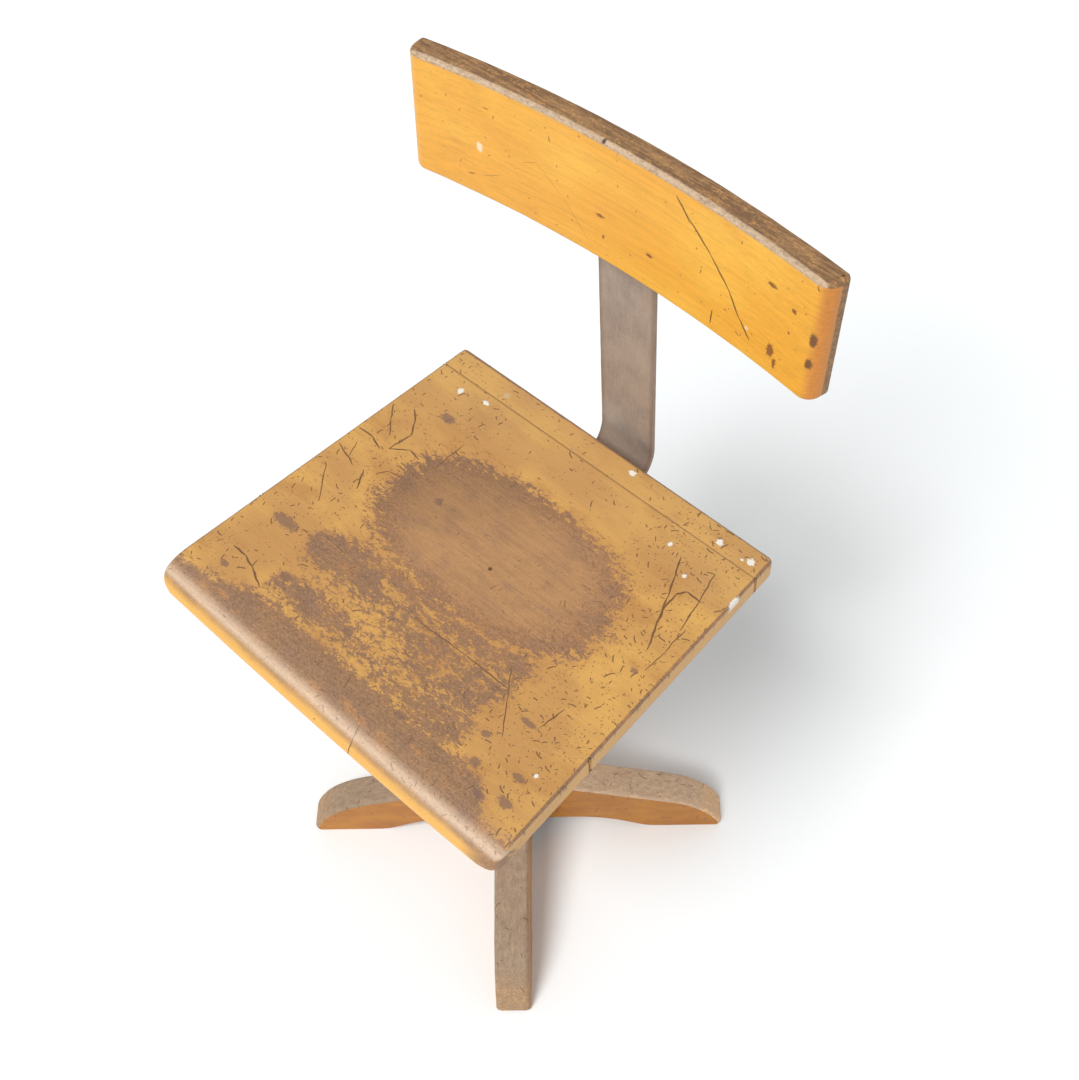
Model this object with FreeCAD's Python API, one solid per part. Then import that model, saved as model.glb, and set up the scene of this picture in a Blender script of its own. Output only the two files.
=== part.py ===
import FreeCAD, Part
import math
import os

V = FreeCAD.Vector

# Swivel drafting chair in millimetres.  +Z is up, the floor is Z = 0, the column's axis is the
# Z axis, and the sitter faces -Y.  The seat is drawn at its stored height.

# Seat
SEAT_TOP = 480.0
SEAT_THICKNESS = 22.0
SEAT_FRONT_Y = -196.5
SEAT_REAR_Y = 159.0
SEAT_FRONT_WIDTH = 400.0
SEAT_REAR_WIDTH = 365.0
FRONT_SEAM_Y = -81.0
REAR_SEAM_Y = 133.5
ROLL_RUN = 34.0             # how far back the front edge starts to roll down
ROLL_RADIUS = 58.0
FRONT_CORNER_RADIUS = 14.0
REAR_CORNER_RADIUS = 4.0
SEAT_EDGE_RADIUS = 2.5

# Wooden parts under the seat
BLOCK_THICKNESS = 12.0
BLOCK_CHAMFER = 3.0
BLOCK_HALF_WIDTH = 75.0
BLOCK_FRONT_Y = -125.0
BLOCK_REAR_Y = 135.0
BATTEN_WIDTH = 30.0
BATTEN_THICKNESS = 20.0
BATTEN_INNER_X = 116.0
BATTEN_FRONT_Y = -150.0
BATTEN_REAR_Y = 132.0

# Base
BASE_TURN = 43.0            # degrees that the first foot is turned from +X
FOOT_REACH = 220.0          # column axis to the tip of a foot
FOOT_WIDTH = 35.0
FOOT_TIP_Z = 5.0
FOOT_CURVE_U = 165.0        # distance from the axis where the top starts to curve down
FOOT_CURVE_Z = 57.5
FOOT_ROOT_Z = 97.0
FOOT_SOLE_U = 138.0         # distance from the axis where the sole begins
FOOT_ARCH_U = 64.0          # distance from the axis where the arch becomes level
ARCH_HEIGHT = 23.0
FOOT_EDGE_RADIUS = 2.5
HUB_BLOCK = 72.0            # across the flats of the column's square foot
HUB_CHAMFER = 18.0
HUB_TOP = 112.0
BEAD_HEIGHT = 9.0
BEAD_OVERHANG = 2.5         # bead's edges beyond the neck
BEAD_BULGE = 2.0
COVE_HEIGHT = 15.0          # hollow curve from the bead up to the neck
COVE_HOLLOW = 1.4
TENON_LENGTH = 20.0
TENON_THICKNESS = 14.0
TENON_BOTTOM = 34.0
TENON_TOP = 84.0
COLUMN_TOP = 318.0
COLUMN_TOP_RADIUS = 29.0
COLUMN_NECK_RADIUS = 31.0
COLUMN_BORE_RADIUS = 20.0
COLUMN_BORE_BOTTOM = 115.0
FERRULE_HEIGHT = 24.0
FERRULE_HALF_WALL = 1.5
TIE_PLATE_RADIUS = 36.0
TIE_PLATE_ARM_REACH = 60.0
TIE_PLATE_ARM_WIDTH = 28.0
TIE_PLATE_THICKNESS = 3.0
FOOT_SCREW_U = 52.0         # distance from the axis to a screw into a foot
HUB_SCREW_U = 30.0          # and to a screw into the column's foot
TIE_SCREW_LENGTH = 26.0

# Height screw
SPINDLE_RADIUS = 14.0
SPINDLE_BOTTOM = 138.0
THREAD_TOP = 374.0
SHOULDER_RADIUS = 20.0
SHOULDER_BOTTOM = 380.0
SHOULDER_TOP = 390.0
JOURNAL_RADIUS = 11.0
JOURNAL_TOP = 434.0
KEYWAY_WIDTH = 5.2
KEYWAY_DEPTH = 3.0
KEY_WIDTH = 5.0
SLEEVE_BOTTOM = 258.0
KEY_HEIGHT = 40.0
KEY_RISE = 8.0              # key's bottom above the sleeve's
KEY_TIP_GAP = 0.3
KEY_BACK_WALL = 1.5         # metal left in the sleeve behind the key
FLANGE_RADIUS = 36.0
FLANGE_TOP = 323.0
FLANGE_SCREW_U = 24.2
FLANGE_SCREW_HEAD = 3.0
FLANGE_SCREW_SHANK = 1.6
FLANGE_SCREW_LENGTH = 24.0
STOP_COLLAR_RADIUS = 19.4
STOP_COLLAR_TOP = 157.0
COLLAR_RISE = 2.0           # collar's bottom above the spindle's
PIN_RADIUS = 2.5
RETAINING_DEPTH = 23.0
WASHER_THICKNESS = 3.0
HEX_HEAD_RADIUS = 7.5
HEX_HEAD_HEIGHT = 5.0
WHEEL_RADIUS = 66.0
WHEEL_BOTTOM = 325.2
WHEEL_TOP = 352.0
WHEEL_HUB_RADIUS = 23.0
NUT_RADIUS = 18.0
RIM_WIDTH = 12.0
RIM_HEIGHT = 15.0
RIM_LAND = 0.2              # half the flat left between the rim's rounded edges
RIM_BOTTOM = 331.0
SPOKE_WIDTH = 10.0
SPOKE_HEIGHT = 8.0
RUNNING_CLEARANCE = 0.05    # radial, between a shaft and the hole that it turns or slides in
FIT = 0.05                  # round a screw in its hole
SLEEVE_FIT = 0.1            # between the sleeve and the column's bore
FACE_GAP = 0.2              # between flat faces of pieces that move on each other
CUT = 1.0                   # how far a cutting shape runs past what it cuts
NEAR = 1e-3

# Seat hub
HUB_BOTTOM = 392.2
HUB_RADIUS = 25.0
HUB_FLANGE = 96.0
HUB_FLANGE_THICKNESS = 8.0
HUB_FLANGE_CORNER = 10.0
HUB_RECESS_RADIUS = 19.0
HUB_RIB_THICKNESS = 6.0
HUB_RIB_RISE = 10.0         # rib's lower end above the boss's bottom
HUB_RIB_INSET = 4.0

# Backrest
BAR_WIDTH = 60.0
BAR_THICKNESS = 4.0
BAR_FRONT_Y = 181.0
BAR_BEND_RADIUS = 32.0      # inside of the bend behind the seat
BAR_CORNER_RADIUS = 6.0
BAR_END_Y = 72.0            # the bar's end under the seat
BAR_SET_Z = 690.0           # above this the bar leans back with the board
BAR_TOP_Z = 788.0
LEAN = 3.85                 # degrees that the backrest leans back
BOARD_WIDTH = 403.5
BOARD_HEIGHT = 109.5
BOARD_THICKNESS = 22.0
BOARD_CENTRE_Z = 747.25
BOARD_CURVE_RADIUS = 1160.0
BOARD_FRONT_END_RADIUS = 12.0   # upright edge between the front face and an end
BOARD_REAR_END_RADIUS = 4.5
BOARD_EDGE_RADIUS = 3.0
BOARD_NOTCH_DEPTH = 3.5     # how far the bar is let into the board's back
BOARD_NOTCH_GAP = 1.5       # between the notch's top end and the bar's
BOARD_SCREW_X = 18.0
BOARD_SCREW_RISE = 26.0     # screws above and below the board's middle
BOARD_SCREW_SHANK = 2.5
BOARD_SCREW_GRIP = 15.0     # how far the screws run into the board
DOME_RADIUS = 6.5           # sphere that the screws' round heads are part of
DOME_SUNK = 3.5
DOME_ROOM = 8.0
DOME_SLOT_DEPTH = 1.6
DOME_SLOT_HALF = 0.6

# Bar guide and clamp
GUIDE_FRONT_Y = 90.0
GUIDE_REAR_Y = 130.0
GUIDE_PLATE = 3.0
GUIDE_HALF_WIDTH = 54.0
GUIDE_SCREW_X = 45.0
CLAMP_Y = 110.0
CLAMP_BOSS_RADIUS = 10.0
CLAMP_BOSS_BOTTOM = 428.0
CLAMP_SCREW_RISE = 4.0      # screw's lower end above the knob's
GUIDE_SIDE_GAP = 1.5        # between the bar and the strap's sides
KNOB_RADIUS = 20.0
KNOB_BOTTOM = 402.0
KNOB_TOP = 424.0
KNOB_NECK = 5.0
KNOB_LOBES = 6
KNOB_LOBE_RADIUS = 6.0

# Screws
SCREW_HEAD_RADIUS = 4.5
SCREW_SHANK_RADIUS = 2.2
SCREW_POINT_RADIUS = 0.3
SCREW_SLOT_HALF = 0.5
SCREW_SLOT_DEPTH = 1.0
M8_RADIUS = 4.0
BLOCK_SCREW_X = 60.0
BLOCK_SCREW_YS = (-112.0, -10.0, 80.0)
BLOCK_SCREW_LENGTH = 26.0
BATTEN_SCREW_YS = (-130.0, -20.0, 110.0)
BATTEN_SCREW_LENGTH = 34.0
HUB_FLANGE_SCREW_INSET = 10.0
HUB_FLANGE_SCREW_LENGTH = 26.0
GUIDE_SCREW_INSET = 8.0
GUIDE_SCREW_LENGTH = 20.0

SEAT_UNDERSIDE = SEAT_TOP - SEAT_THICKNESS
BLOCK_UNDERSIDE = SEAT_UNDERSIDE - BLOCK_THICKNESS
BATTEN_UNDERSIDE = SEAT_UNDERSIDE - BATTEN_THICKNESS
BAR_FLAT_TOP = BLOCK_UNDERSIDE - FACE_GAP
BAR_FLAT_BOTTOM = BAR_FLAT_TOP - BAR_THICKNESS
UP = V(0, 0, 1)
ORIGIN = V(0, 0, 0)


def box(x0, x1, y0, y1, z0, z1):
    return Part.makeBox(x1 - x0, y1 - y0, z1 - z0, V(x0, y0, z0))


def rod(radius, z0, z1, x=0.0, y=0.0):
    return Part.makeCylinder(radius, z1 - z0, V(x, y, z0))


def ring(outer, inner, z0, z1):
    return rod(outer, z0, z1).cut(rod(inner, z0 - CUT, z1 + CUT))


def line(a, b):
    return Part.LineSegment(a, b).toShape()


def arc(a, middle, b):
    return Part.Arc(a, middle, b).toShape()


def polygon(points):
    return Part.Face(Part.makePolygon(points + points[:1]))


def arc_middle(centre, radius, start, end):
    """The point halfway, by angle, between two angles in degrees, in the YZ plane."""
    middle = math.radians((start + end) / 2.0)
    return V(0, centre[0] + radius * math.cos(middle), centre[1] + radius * math.sin(middle))


def turned(shape, degrees):
    copy = shape.copy()
    copy.rotate(ORIGIN, UP, degrees)
    return copy


def wood_screw(x, y, head_z, length):
    """A countersunk screw driven upwards, with its head's flat end at head_z."""
    head_depth = SCREW_HEAD_RADIUS - SCREW_SHANK_RADIUS
    head = Part.makeCone(SCREW_HEAD_RADIUS, SCREW_SHANK_RADIUS, head_depth, V(x, y, head_z))
    shank_top = head_z + length - 2.0 * SCREW_SHANK_RADIUS
    shank = rod(SCREW_SHANK_RADIUS, head_z + head_depth, shank_top, x, y)
    point = Part.makeCone(SCREW_SHANK_RADIUS, SCREW_POINT_RADIUS, 2.0 * SCREW_SHANK_RADIUS,
                          V(x, y, shank_top))
    slot = box(x - SCREW_HEAD_RADIUS, x + SCREW_HEAD_RADIUS, y - SCREW_SLOT_HALF, y + SCREW_SLOT_HALF,
               head_z - CUT, head_z + SCREW_SLOT_DEPTH)
    return head.fuse([shank, point]).removeSplitter().cut(slot)


def screw_hole(x, y, head_z, length):
    """The room that wood_screw takes, a hair larger."""
    head_depth = SCREW_HEAD_RADIUS - SCREW_SHANK_RADIUS
    sink = Part.makeCone(SCREW_HEAD_RADIUS + FIT, SCREW_SHANK_RADIUS + FIT, head_depth, V(x, y, head_z))
    return sink.fuse(rod(SCREW_SHANK_RADIUS + FIT, head_z, head_z + length + FIT, x, y))


def group(solids):
    return Part.makeCompound(solids)


# ---------------------------------------------------------------- base

def foot():
    """One foot along +X: sloping top that curves down to the tip, arched underside, flat sole."""
    half = FOOT_WIDTH / 2.0
    root = HUB_BLOCK / 2.0
    sole_end = FOOT_REACH - FOOT_TIP_Z
    arch_run = FOOT_SOLE_U - FOOT_ARCH_U
    arch_radius = (arch_run ** 2 + ARCH_HEIGHT ** 2) / (2.0 * ARCH_HEIGHT)
    arch_middle_u = FOOT_ARCH_U + arch_run / 2.0
    arch_middle_z = ARCH_HEIGHT - arch_radius + math.sqrt(arch_radius ** 2 - (arch_run / 2.0) ** 2)
    slope = (FOOT_ROOT_Z - FOOT_CURVE_Z) / (FOOT_CURVE_U - root)

    def at(u, z):
        return V(u, -half, z)

    curve_start = at(FOOT_CURVE_U, FOOT_CURVE_Z)
    tip = at(FOOT_REACH, FOOT_TIP_Z)
    tangent = V(1.0, 0.0, -slope).normalize()
    normal = V(tangent.z, 0.0, -tangent.x)
    chord = tip - curve_start
    radius = chord.Length ** 2 / (2.0 * normal.dot(chord))
    centre = curve_start + normal * radius
    bulge = (curve_start + tip) * 0.5 - centre
    curve_middle = centre + bulge.normalize() * radius
    tip_corner = FOOT_TIP_Z * math.sqrt(0.5)
    edges = [
        line(at(root, ARCH_HEIGHT), at(root, FOOT_ROOT_Z)),
        line(at(root, FOOT_ROOT_Z), curve_start),
        arc(curve_start, curve_middle, tip),
        arc(tip, at(sole_end + tip_corner, FOOT_TIP_Z - tip_corner), at(sole_end, 0.0)),
        line(at(sole_end, 0.0), at(FOOT_SOLE_U, 0.0)),
        arc(at(FOOT_SOLE_U, 0.0), at(arch_middle_u, arch_middle_z), at(FOOT_ARCH_U, ARCH_HEIGHT)),
        line(at(FOOT_ARCH_U, ARCH_HEIGHT), at(root, ARCH_HEIGHT)),
    ]
    arm = Part.Face(Part.Wire(edges)).extrude(V(0, FOOT_WIDTH, 0))
    lengthwise = [e for e in arm.Edges if e.BoundBox.YLength < NEAR and e.BoundBox.XLength > 1.0]
    rounded = [e for e in lengthwise if e.BoundBox.ZMax > FOOT_CURVE_Z - 1.0]
    arm = arm.makeFillet(FOOT_EDGE_RADIUS, rounded)
    tenon = box(root - TENON_LENGTH, root + CUT, -TENON_THICKNESS / 2.0, TENON_THICKNESS / 2.0,
                TENON_BOTTOM, TENON_TOP)
    body = arm.fuse(tenon).removeSplitter()
    x, y, head_z, length = foot_screw()
    return body.cut(screw_hole(x, y, head_z, length))


def foot_screw():
    """Place and length of the tie plate's screw into a foot along +X."""
    return FOOT_SCREW_U, 0.0, ARCH_HEIGHT - TIE_PLATE_THICKNESS, TIE_SCREW_LENGTH


def hub_screw():
    """Place and length of the tie plate's screw into the column's foot, before turning."""
    return HUB_SCREW_U, 0.0, ARCH_HEIGHT - TIE_PLATE_THICKNESS, TIE_SCREW_LENGTH


def tie_screws():
    feet = [turned(wood_screw(*foot_screw()), BASE_TURN + 90.0 * k) for k in range(4)]
    hub = [turned(wood_screw(*hub_screw()), BASE_TURN + 45.0 + 90.0 * k) for k in range(4)]
    return feet + hub


def tie_plate():
    """Steel disc with an arm under each foot."""
    bottom = ARCH_HEIGHT - TIE_PLATE_THICKNESS
    half = TIE_PLATE_ARM_WIDTH / 2.0
    arm = box(-TIE_PLATE_ARM_REACH, TIE_PLATE_ARM_REACH, -half, half, bottom, ARCH_HEIGHT)
    arms = [turned(arm, BASE_TURN), turned(arm, BASE_TURN + 90.0)]
    plate = rod(TIE_PLATE_RADIUS, bottom, ARCH_HEIGHT).fuse(arms).removeSplitter()
    for k in range(4):
        plate = plate.cut(turned(screw_hole(*foot_screw()), BASE_TURN + 90.0 * k))
        plate = plate.cut(turned(screw_hole(*hub_screw()), BASE_TURN + 45.0 + 90.0 * k))
    return plate


def column():
    """Square foot with chamfered corners, then a turned shaft that tapers to the ferrule."""
    half = HUB_BLOCK / 2.0
    cut = half - HUB_CHAMFER
    corners = [(half, -cut), (half, cut), (cut, half), (-cut, half),
               (-half, cut), (-half, -cut), (-cut, -half), (cut, -half)]
    base = polygon([V(x, y, ARCH_HEIGHT) for x, y in corners]).extrude(V(0, 0, HUB_TOP - ARCH_HEIGHT))
    base = turned(base, BASE_TURN)
    bead_z = HUB_TOP + BEAD_HEIGHT
    neck_z = bead_z + COVE_HEIGHT
    bead_radius = COLUMN_NECK_RADIUS + BEAD_OVERHANG
    bulge = V(bead_radius + BEAD_BULGE, 0, HUB_TOP + BEAD_HEIGHT / 2.0)
    hollow = V(COLUMN_NECK_RADIUS + COVE_HOLLOW, 0, bead_z + 0.4 * COVE_HEIGHT)
    edges = [
        line(V(0, 0, HUB_TOP), V(bead_radius, 0, HUB_TOP)),
        arc(V(bead_radius, 0, HUB_TOP), bulge, V(bead_radius, 0, bead_z)),
        arc(V(bead_radius, 0, bead_z), hollow, V(COLUMN_NECK_RADIUS, 0, neck_z)),
        line(V(COLUMN_NECK_RADIUS, 0, neck_z), V(COLUMN_TOP_RADIUS, 0, COLUMN_TOP)),
        line(V(COLUMN_TOP_RADIUS, 0, COLUMN_TOP), V(0, 0, COLUMN_TOP)),
        line(V(0, 0, COLUMN_TOP), V(0, 0, HUB_TOP)),
    ]
    shaft = Part.Face(Part.Wire(edges)).revolve(ORIGIN, UP, 360)
    body = base.fuse(shaft).cut(rod(COLUMN_BORE_RADIUS, COLUMN_BORE_BOTTOM, COLUMN_TOP + CUT))
    body = body.cut(ferrule_room())
    for k in range(4):
        mortise = box(half - TENON_LENGTH - CUT, half + CUT, -TENON_THICKNESS / 2.0, TENON_THICKNESS / 2.0,
                      TENON_BOTTOM, TENON_TOP)
        body = body.cut(turned(mortise, BASE_TURN + 90.0 * k))
        body = body.cut(turned(screw_hole(*hub_screw()), BASE_TURN + 45.0 + 90.0 * k))
        body = body.cut(turned(flange_screw(FIT), BASE_TURN + 45.0 + 90.0 * k))
    return body


def ferrule_room():
    """The wood turned away under the steel ring at the column's top."""
    return ring(COLUMN_NECK_RADIUS + CUT, COLUMN_TOP_RADIUS - FERRULE_HALF_WALL,
                COLUMN_TOP - FERRULE_HEIGHT, COLUMN_TOP + CUT)


def ferrule():
    return ring(COLUMN_TOP_RADIUS + FERRULE_HALF_WALL, COLUMN_TOP_RADIUS - FERRULE_HALF_WALL,
                COLUMN_TOP - FERRULE_HEIGHT, COLUMN_TOP)


def flange_screw(ease=0.0):
    """A countersunk screw down through the flange into the column's end grain."""
    depth = FLANGE_SCREW_HEAD - FLANGE_SCREW_SHANK
    head = Part.makeCone(FLANGE_SCREW_SHANK + ease, FLANGE_SCREW_HEAD + ease, depth,
                         V(FLANGE_SCREW_U, 0, FLANGE_TOP - depth))
    stem = rod(FLANGE_SCREW_SHANK + ease, FLANGE_TOP - FLANGE_SCREW_LENGTH - ease,
               FLANGE_TOP - depth + NEAR, FLANGE_SCREW_U)
    return head.fuse(stem).removeSplitter()


def guide_flange():
    """Iron flange on the column with the sleeve that guides the spindle."""
    body = rod(FLANGE_RADIUS, COLUMN_TOP, FLANGE_TOP)
    body = body.fuse(rod(COLUMN_BORE_RADIUS - SLEEVE_FIT, SLEEVE_BOTTOM, COLUMN_TOP)).removeSplitter()
    body = body.cut(rod(SPINDLE_RADIUS + RUNNING_CLEARANCE, SLEEVE_BOTTOM - CUT, FLANGE_TOP + CUT))
    body = body.cut(guide_key())
    for k in range(4):
        body = body.cut(turned(flange_screw(FIT), BASE_TURN + 45.0 + 90.0 * k))
    return body


def guide_key():
    """Steel key let into the sleeve, which keeps the spindle from turning."""
    inner = SPINDLE_RADIUS - KEYWAY_DEPTH + KEY_TIP_GAP
    bottom = SLEEVE_BOTTOM + KEY_RISE
    return box(inner, COLUMN_BORE_RADIUS - KEY_BACK_WALL, -KEY_WIDTH / 2.0, KEY_WIDTH / 2.0,
               bottom, bottom + KEY_HEIGHT)


# ---------------------------------------------------------------- height screw

def hand_wheel():
    """Cast wheel that carries the nut: hub, four spokes and a rounded rim."""
    hub = rod(WHEEL_HUB_RADIUS, WHEEL_BOTTOM, WHEEL_TOP)
    rim_centre = WHEEL_RADIUS - RIM_WIDTH / 2.0
    rim_round = RIM_WIDTH / 2.0 - RIM_LAND
    rim = ring(WHEEL_RADIUS, WHEEL_RADIUS - RIM_WIDTH, RIM_BOTTOM, RIM_BOTTOM + RIM_HEIGHT)
    rim = rim.makeFillet(rim_round, [e for e in rim.Edges if e.Closed])
    spoke_z = RIM_BOTTOM + RIM_HEIGHT / 2.0
    spoke = box(WHEEL_HUB_RADIUS - CUT, rim_centre, -SPOKE_WIDTH / 2.0, SPOKE_WIDTH / 2.0,
                spoke_z - SPOKE_HEIGHT / 2.0, spoke_z + SPOKE_HEIGHT / 2.0)
    spokes = [turned(spoke, 90.0 * k) for k in range(4)]
    body = hub.fuse([rim] + spokes).removeSplitter()
    return body.cut(rod(NUT_RADIUS, WHEEL_BOTTOM - CUT, WHEEL_TOP + CUT))


def wheel_nut():
    return ring(NUT_RADIUS, SPINDLE_RADIUS + RUNNING_CLEARANCE, WHEEL_BOTTOM, WHEEL_TOP)


def spindle():
    """Threaded bar with a keyway, a shoulder, and a plain journal for the seat to turn on."""
    body = rod(SPINDLE_RADIUS, SPINDLE_BOTTOM, SHOULDER_BOTTOM)
    body = body.fuse([rod(SHOULDER_RADIUS, SHOULDER_BOTTOM, SHOULDER_TOP),
                      rod(JOURNAL_RADIUS, SHOULDER_TOP, JOURNAL_TOP)]).removeSplitter()
    keyway = box(SPINDLE_RADIUS - KEYWAY_DEPTH, SPINDLE_RADIUS + CUT,
                 -KEYWAY_WIDTH / 2.0, KEYWAY_WIDTH / 2.0, STOP_COLLAR_TOP, THREAD_TOP)
    body = body.cut(keyway)
    body = body.cut(rod(M8_RADIUS, JOURNAL_TOP - RETAINING_DEPTH - CUT, JOURNAL_TOP + CUT))
    return body.cut(collar_pin())


def stop_collar():
    """Ring pinned to the spindle's lower end, so that it can't be wound out of the column."""
    body = ring(STOP_COLLAR_RADIUS, SPINDLE_RADIUS, SPINDLE_BOTTOM + COLLAR_RISE, STOP_COLLAR_TOP)
    return body.cut(collar_pin())


def collar_pin():
    middle = (SPINDLE_BOTTOM + COLLAR_RISE + STOP_COLLAR_TOP) / 2.0
    length = 2.0 * STOP_COLLAR_RADIUS - CUT
    return Part.makeCylinder(PIN_RADIUS, length, V(0, -length / 2.0, middle), V(0, 1, 0))


def retaining_screw():
    """Hexagon-head screw in the journal's end, which holds the seat down."""
    head_bottom = JOURNAL_TOP + FACE_GAP + WASHER_THICKNESS
    angles = [math.radians(60 * k) for k in range(6)]
    corners = [V(HEX_HEAD_RADIUS * math.cos(a), HEX_HEAD_RADIUS * math.sin(a), head_bottom) for a in angles]
    head = polygon(corners).extrude(V(0, 0, HEX_HEAD_HEIGHT))
    shank = rod(M8_RADIUS, JOURNAL_TOP - RETAINING_DEPTH, head_bottom + CUT)
    return head.fuse(shank).removeSplitter()


# ---------------------------------------------------------------- seat

def seat_slab():
    """The whole seat before it is divided into boards: tapering plan, rolled front edge."""
    front = SEAT_FRONT_WIDTH / 2.0
    rear = SEAT_REAR_WIDTH / 2.0
    taper = (front - rear) / (SEAT_REAR_Y - SEAT_FRONT_Y)
    nose_y = SEAT_FRONT_Y - CUT
    nose_half = front + taper * CUT
    plan = polygon([V(-nose_half, nose_y, SEAT_UNDERSIDE), V(nose_half, nose_y, SEAT_UNDERSIDE),
                    V(rear, SEAT_REAR_Y, SEAT_UNDERSIDE), V(-rear, SEAT_REAR_Y, SEAT_UNDERSIDE)])
    slab = plan.extrude(V(0, 0, SEAT_THICKNESS))
    upright = [e for e in slab.Edges if e.BoundBox.ZLength > SEAT_THICKNESS - 1.0]
    slab = slab.makeFillet(FRONT_CORNER_RADIUS, [e for e in upright if e.BoundBox.YMax < 0])
    upright = [e for e in slab.Edges if e.BoundBox.ZLength > SEAT_THICKNESS - 1.0
               and e.BoundBox.YMin > SEAT_REAR_Y - NEAR]
    slab = slab.makeFillet(REAR_CORNER_RADIUS, upright)
    rims = [e for e in slab.Edges if e.BoundBox.ZLength < NEAR]
    slab = slab.makeFillet(SEAT_EDGE_RADIUS, rims)
    return slab.common(nose_profile(nose_half))


def nose_profile(half_width):
    """The seat's side view: a flat top that rolls down to a small round nose."""
    roll = math.degrees(math.asin(ROLL_RUN / (ROLL_RADIUS + CUT)))
    big = (SEAT_FRONT_Y + ROLL_RUN, SEAT_TOP - ROLL_RADIUS)
    away = V(0, -math.sin(math.radians(roll)), math.cos(math.radians(roll)))
    join = V(0, big[0], big[1]) + away * ROLL_RADIUS
    nose_radius = (join.z - SEAT_UNDERSIDE) / (1.0 + away.z)
    centre = join - away * nose_radius
    small = (centre.y, centre.z)
    start = V(0, big[0], SEAT_TOP)
    under = V(0, centre.y, SEAT_UNDERSIDE)
    back_top = V(0, SEAT_REAR_Y + CUT, SEAT_TOP)
    back_bottom = V(0, SEAT_REAR_Y + CUT, SEAT_UNDERSIDE)
    edges = [
        line(back_top, start),
        arc(start, arc_middle(big, ROLL_RADIUS, 90.0, 90.0 + roll), join),
        arc(join, arc_middle(small, nose_radius, 90.0 + roll, 270.0), under),
        line(under, back_bottom),
        line(back_bottom, back_top),
    ]
    face = Part.Face(Part.Wire(edges))
    face.translate(V(-half_width - CUT, 0, 0))
    return face.extrude(V(2.0 * (half_width + CUT), 0, 0))


def seat_boards():
    slab = seat_slab()
    far = SEAT_FRONT_WIDTH
    spans = {
        "seat_front_board": (-far, FRONT_SEAM_Y),
        "seat_middle_board": (FRONT_SEAM_Y, REAR_SEAM_Y),
        "seat_rear_strip": (REAR_SEAM_Y, far),
    }
    boards = {}
    for name, (y0, y1) in spans.items():
        board = slab.common(box(-far, far, y0, y1, SEAT_UNDERSIDE - CUT, SEAT_TOP + CUT))
        for place in block_screws() + batten_screws() + hub_flange_screws() + guide_screws():
            if y0 < place[1] < y1:
                board = board.cut(screw_hole(*place))
        boards[name] = board
    return boards


def block_screws():
    return [(side * BLOCK_SCREW_X, y, BLOCK_UNDERSIDE, BLOCK_SCREW_LENGTH)
            for side in (-1, 1) for y in BLOCK_SCREW_YS]


def batten_screws():
    middle = BATTEN_INNER_X + BATTEN_WIDTH / 2.0
    return [(side * middle, y, BATTEN_UNDERSIDE, BATTEN_SCREW_LENGTH)
            for side in (-1, 1) for y in BATTEN_SCREW_YS]


def hub_flange_screws():
    reach = HUB_FLANGE / 2.0 - HUB_FLANGE_SCREW_INSET
    bottom = BLOCK_UNDERSIDE - HUB_FLANGE_THICKNESS
    return [(sx * reach, sy * reach, bottom, HUB_FLANGE_SCREW_LENGTH) for sx in (-1, 1) for sy in (-1, 1)]


def guide_screws():
    ys = (GUIDE_FRONT_Y + GUIDE_SCREW_INSET, GUIDE_REAR_Y - GUIDE_SCREW_INSET)
    return [(side * GUIDE_SCREW_X, y, BLOCK_UNDERSIDE - GUIDE_PLATE, GUIDE_SCREW_LENGTH)
            for side in (-1, 1) for y in ys]


def seat_block():
    """Wooden plate across the boards that carries the hub and the bar's guide."""
    body = box(-BLOCK_HALF_WIDTH, BLOCK_HALF_WIDTH, BLOCK_FRONT_Y, BLOCK_REAR_Y,
               BLOCK_UNDERSIDE, SEAT_UNDERSIDE)
    lower = [e for e in body.Edges if e.BoundBox.ZMax < BLOCK_UNDERSIDE + NEAR]
    body = body.makeChamfer(BLOCK_CHAMFER, lower)
    for place in block_screws() + hub_flange_screws() + guide_screws():
        body = body.cut(screw_hole(*place))
    return body


def batten(side):
    x0 = min(side * BATTEN_INNER_X, side * (BATTEN_INNER_X + BATTEN_WIDTH))
    body = box(x0, x0 + BATTEN_WIDTH, BATTEN_FRONT_Y, BATTEN_REAR_Y, BATTEN_UNDERSIDE, SEAT_UNDERSIDE)
    ends = [e for e in body.Edges if e.BoundBox.ZMax < BATTEN_UNDERSIDE + NEAR and e.BoundBox.XLength > 1.0]
    body = body.makeChamfer(BATTEN_THICKNESS / 2.0, ends)
    for place in batten_screws():
        if place[0] * side > 0:
            body = body.cut(screw_hole(*place))
    return body


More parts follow.
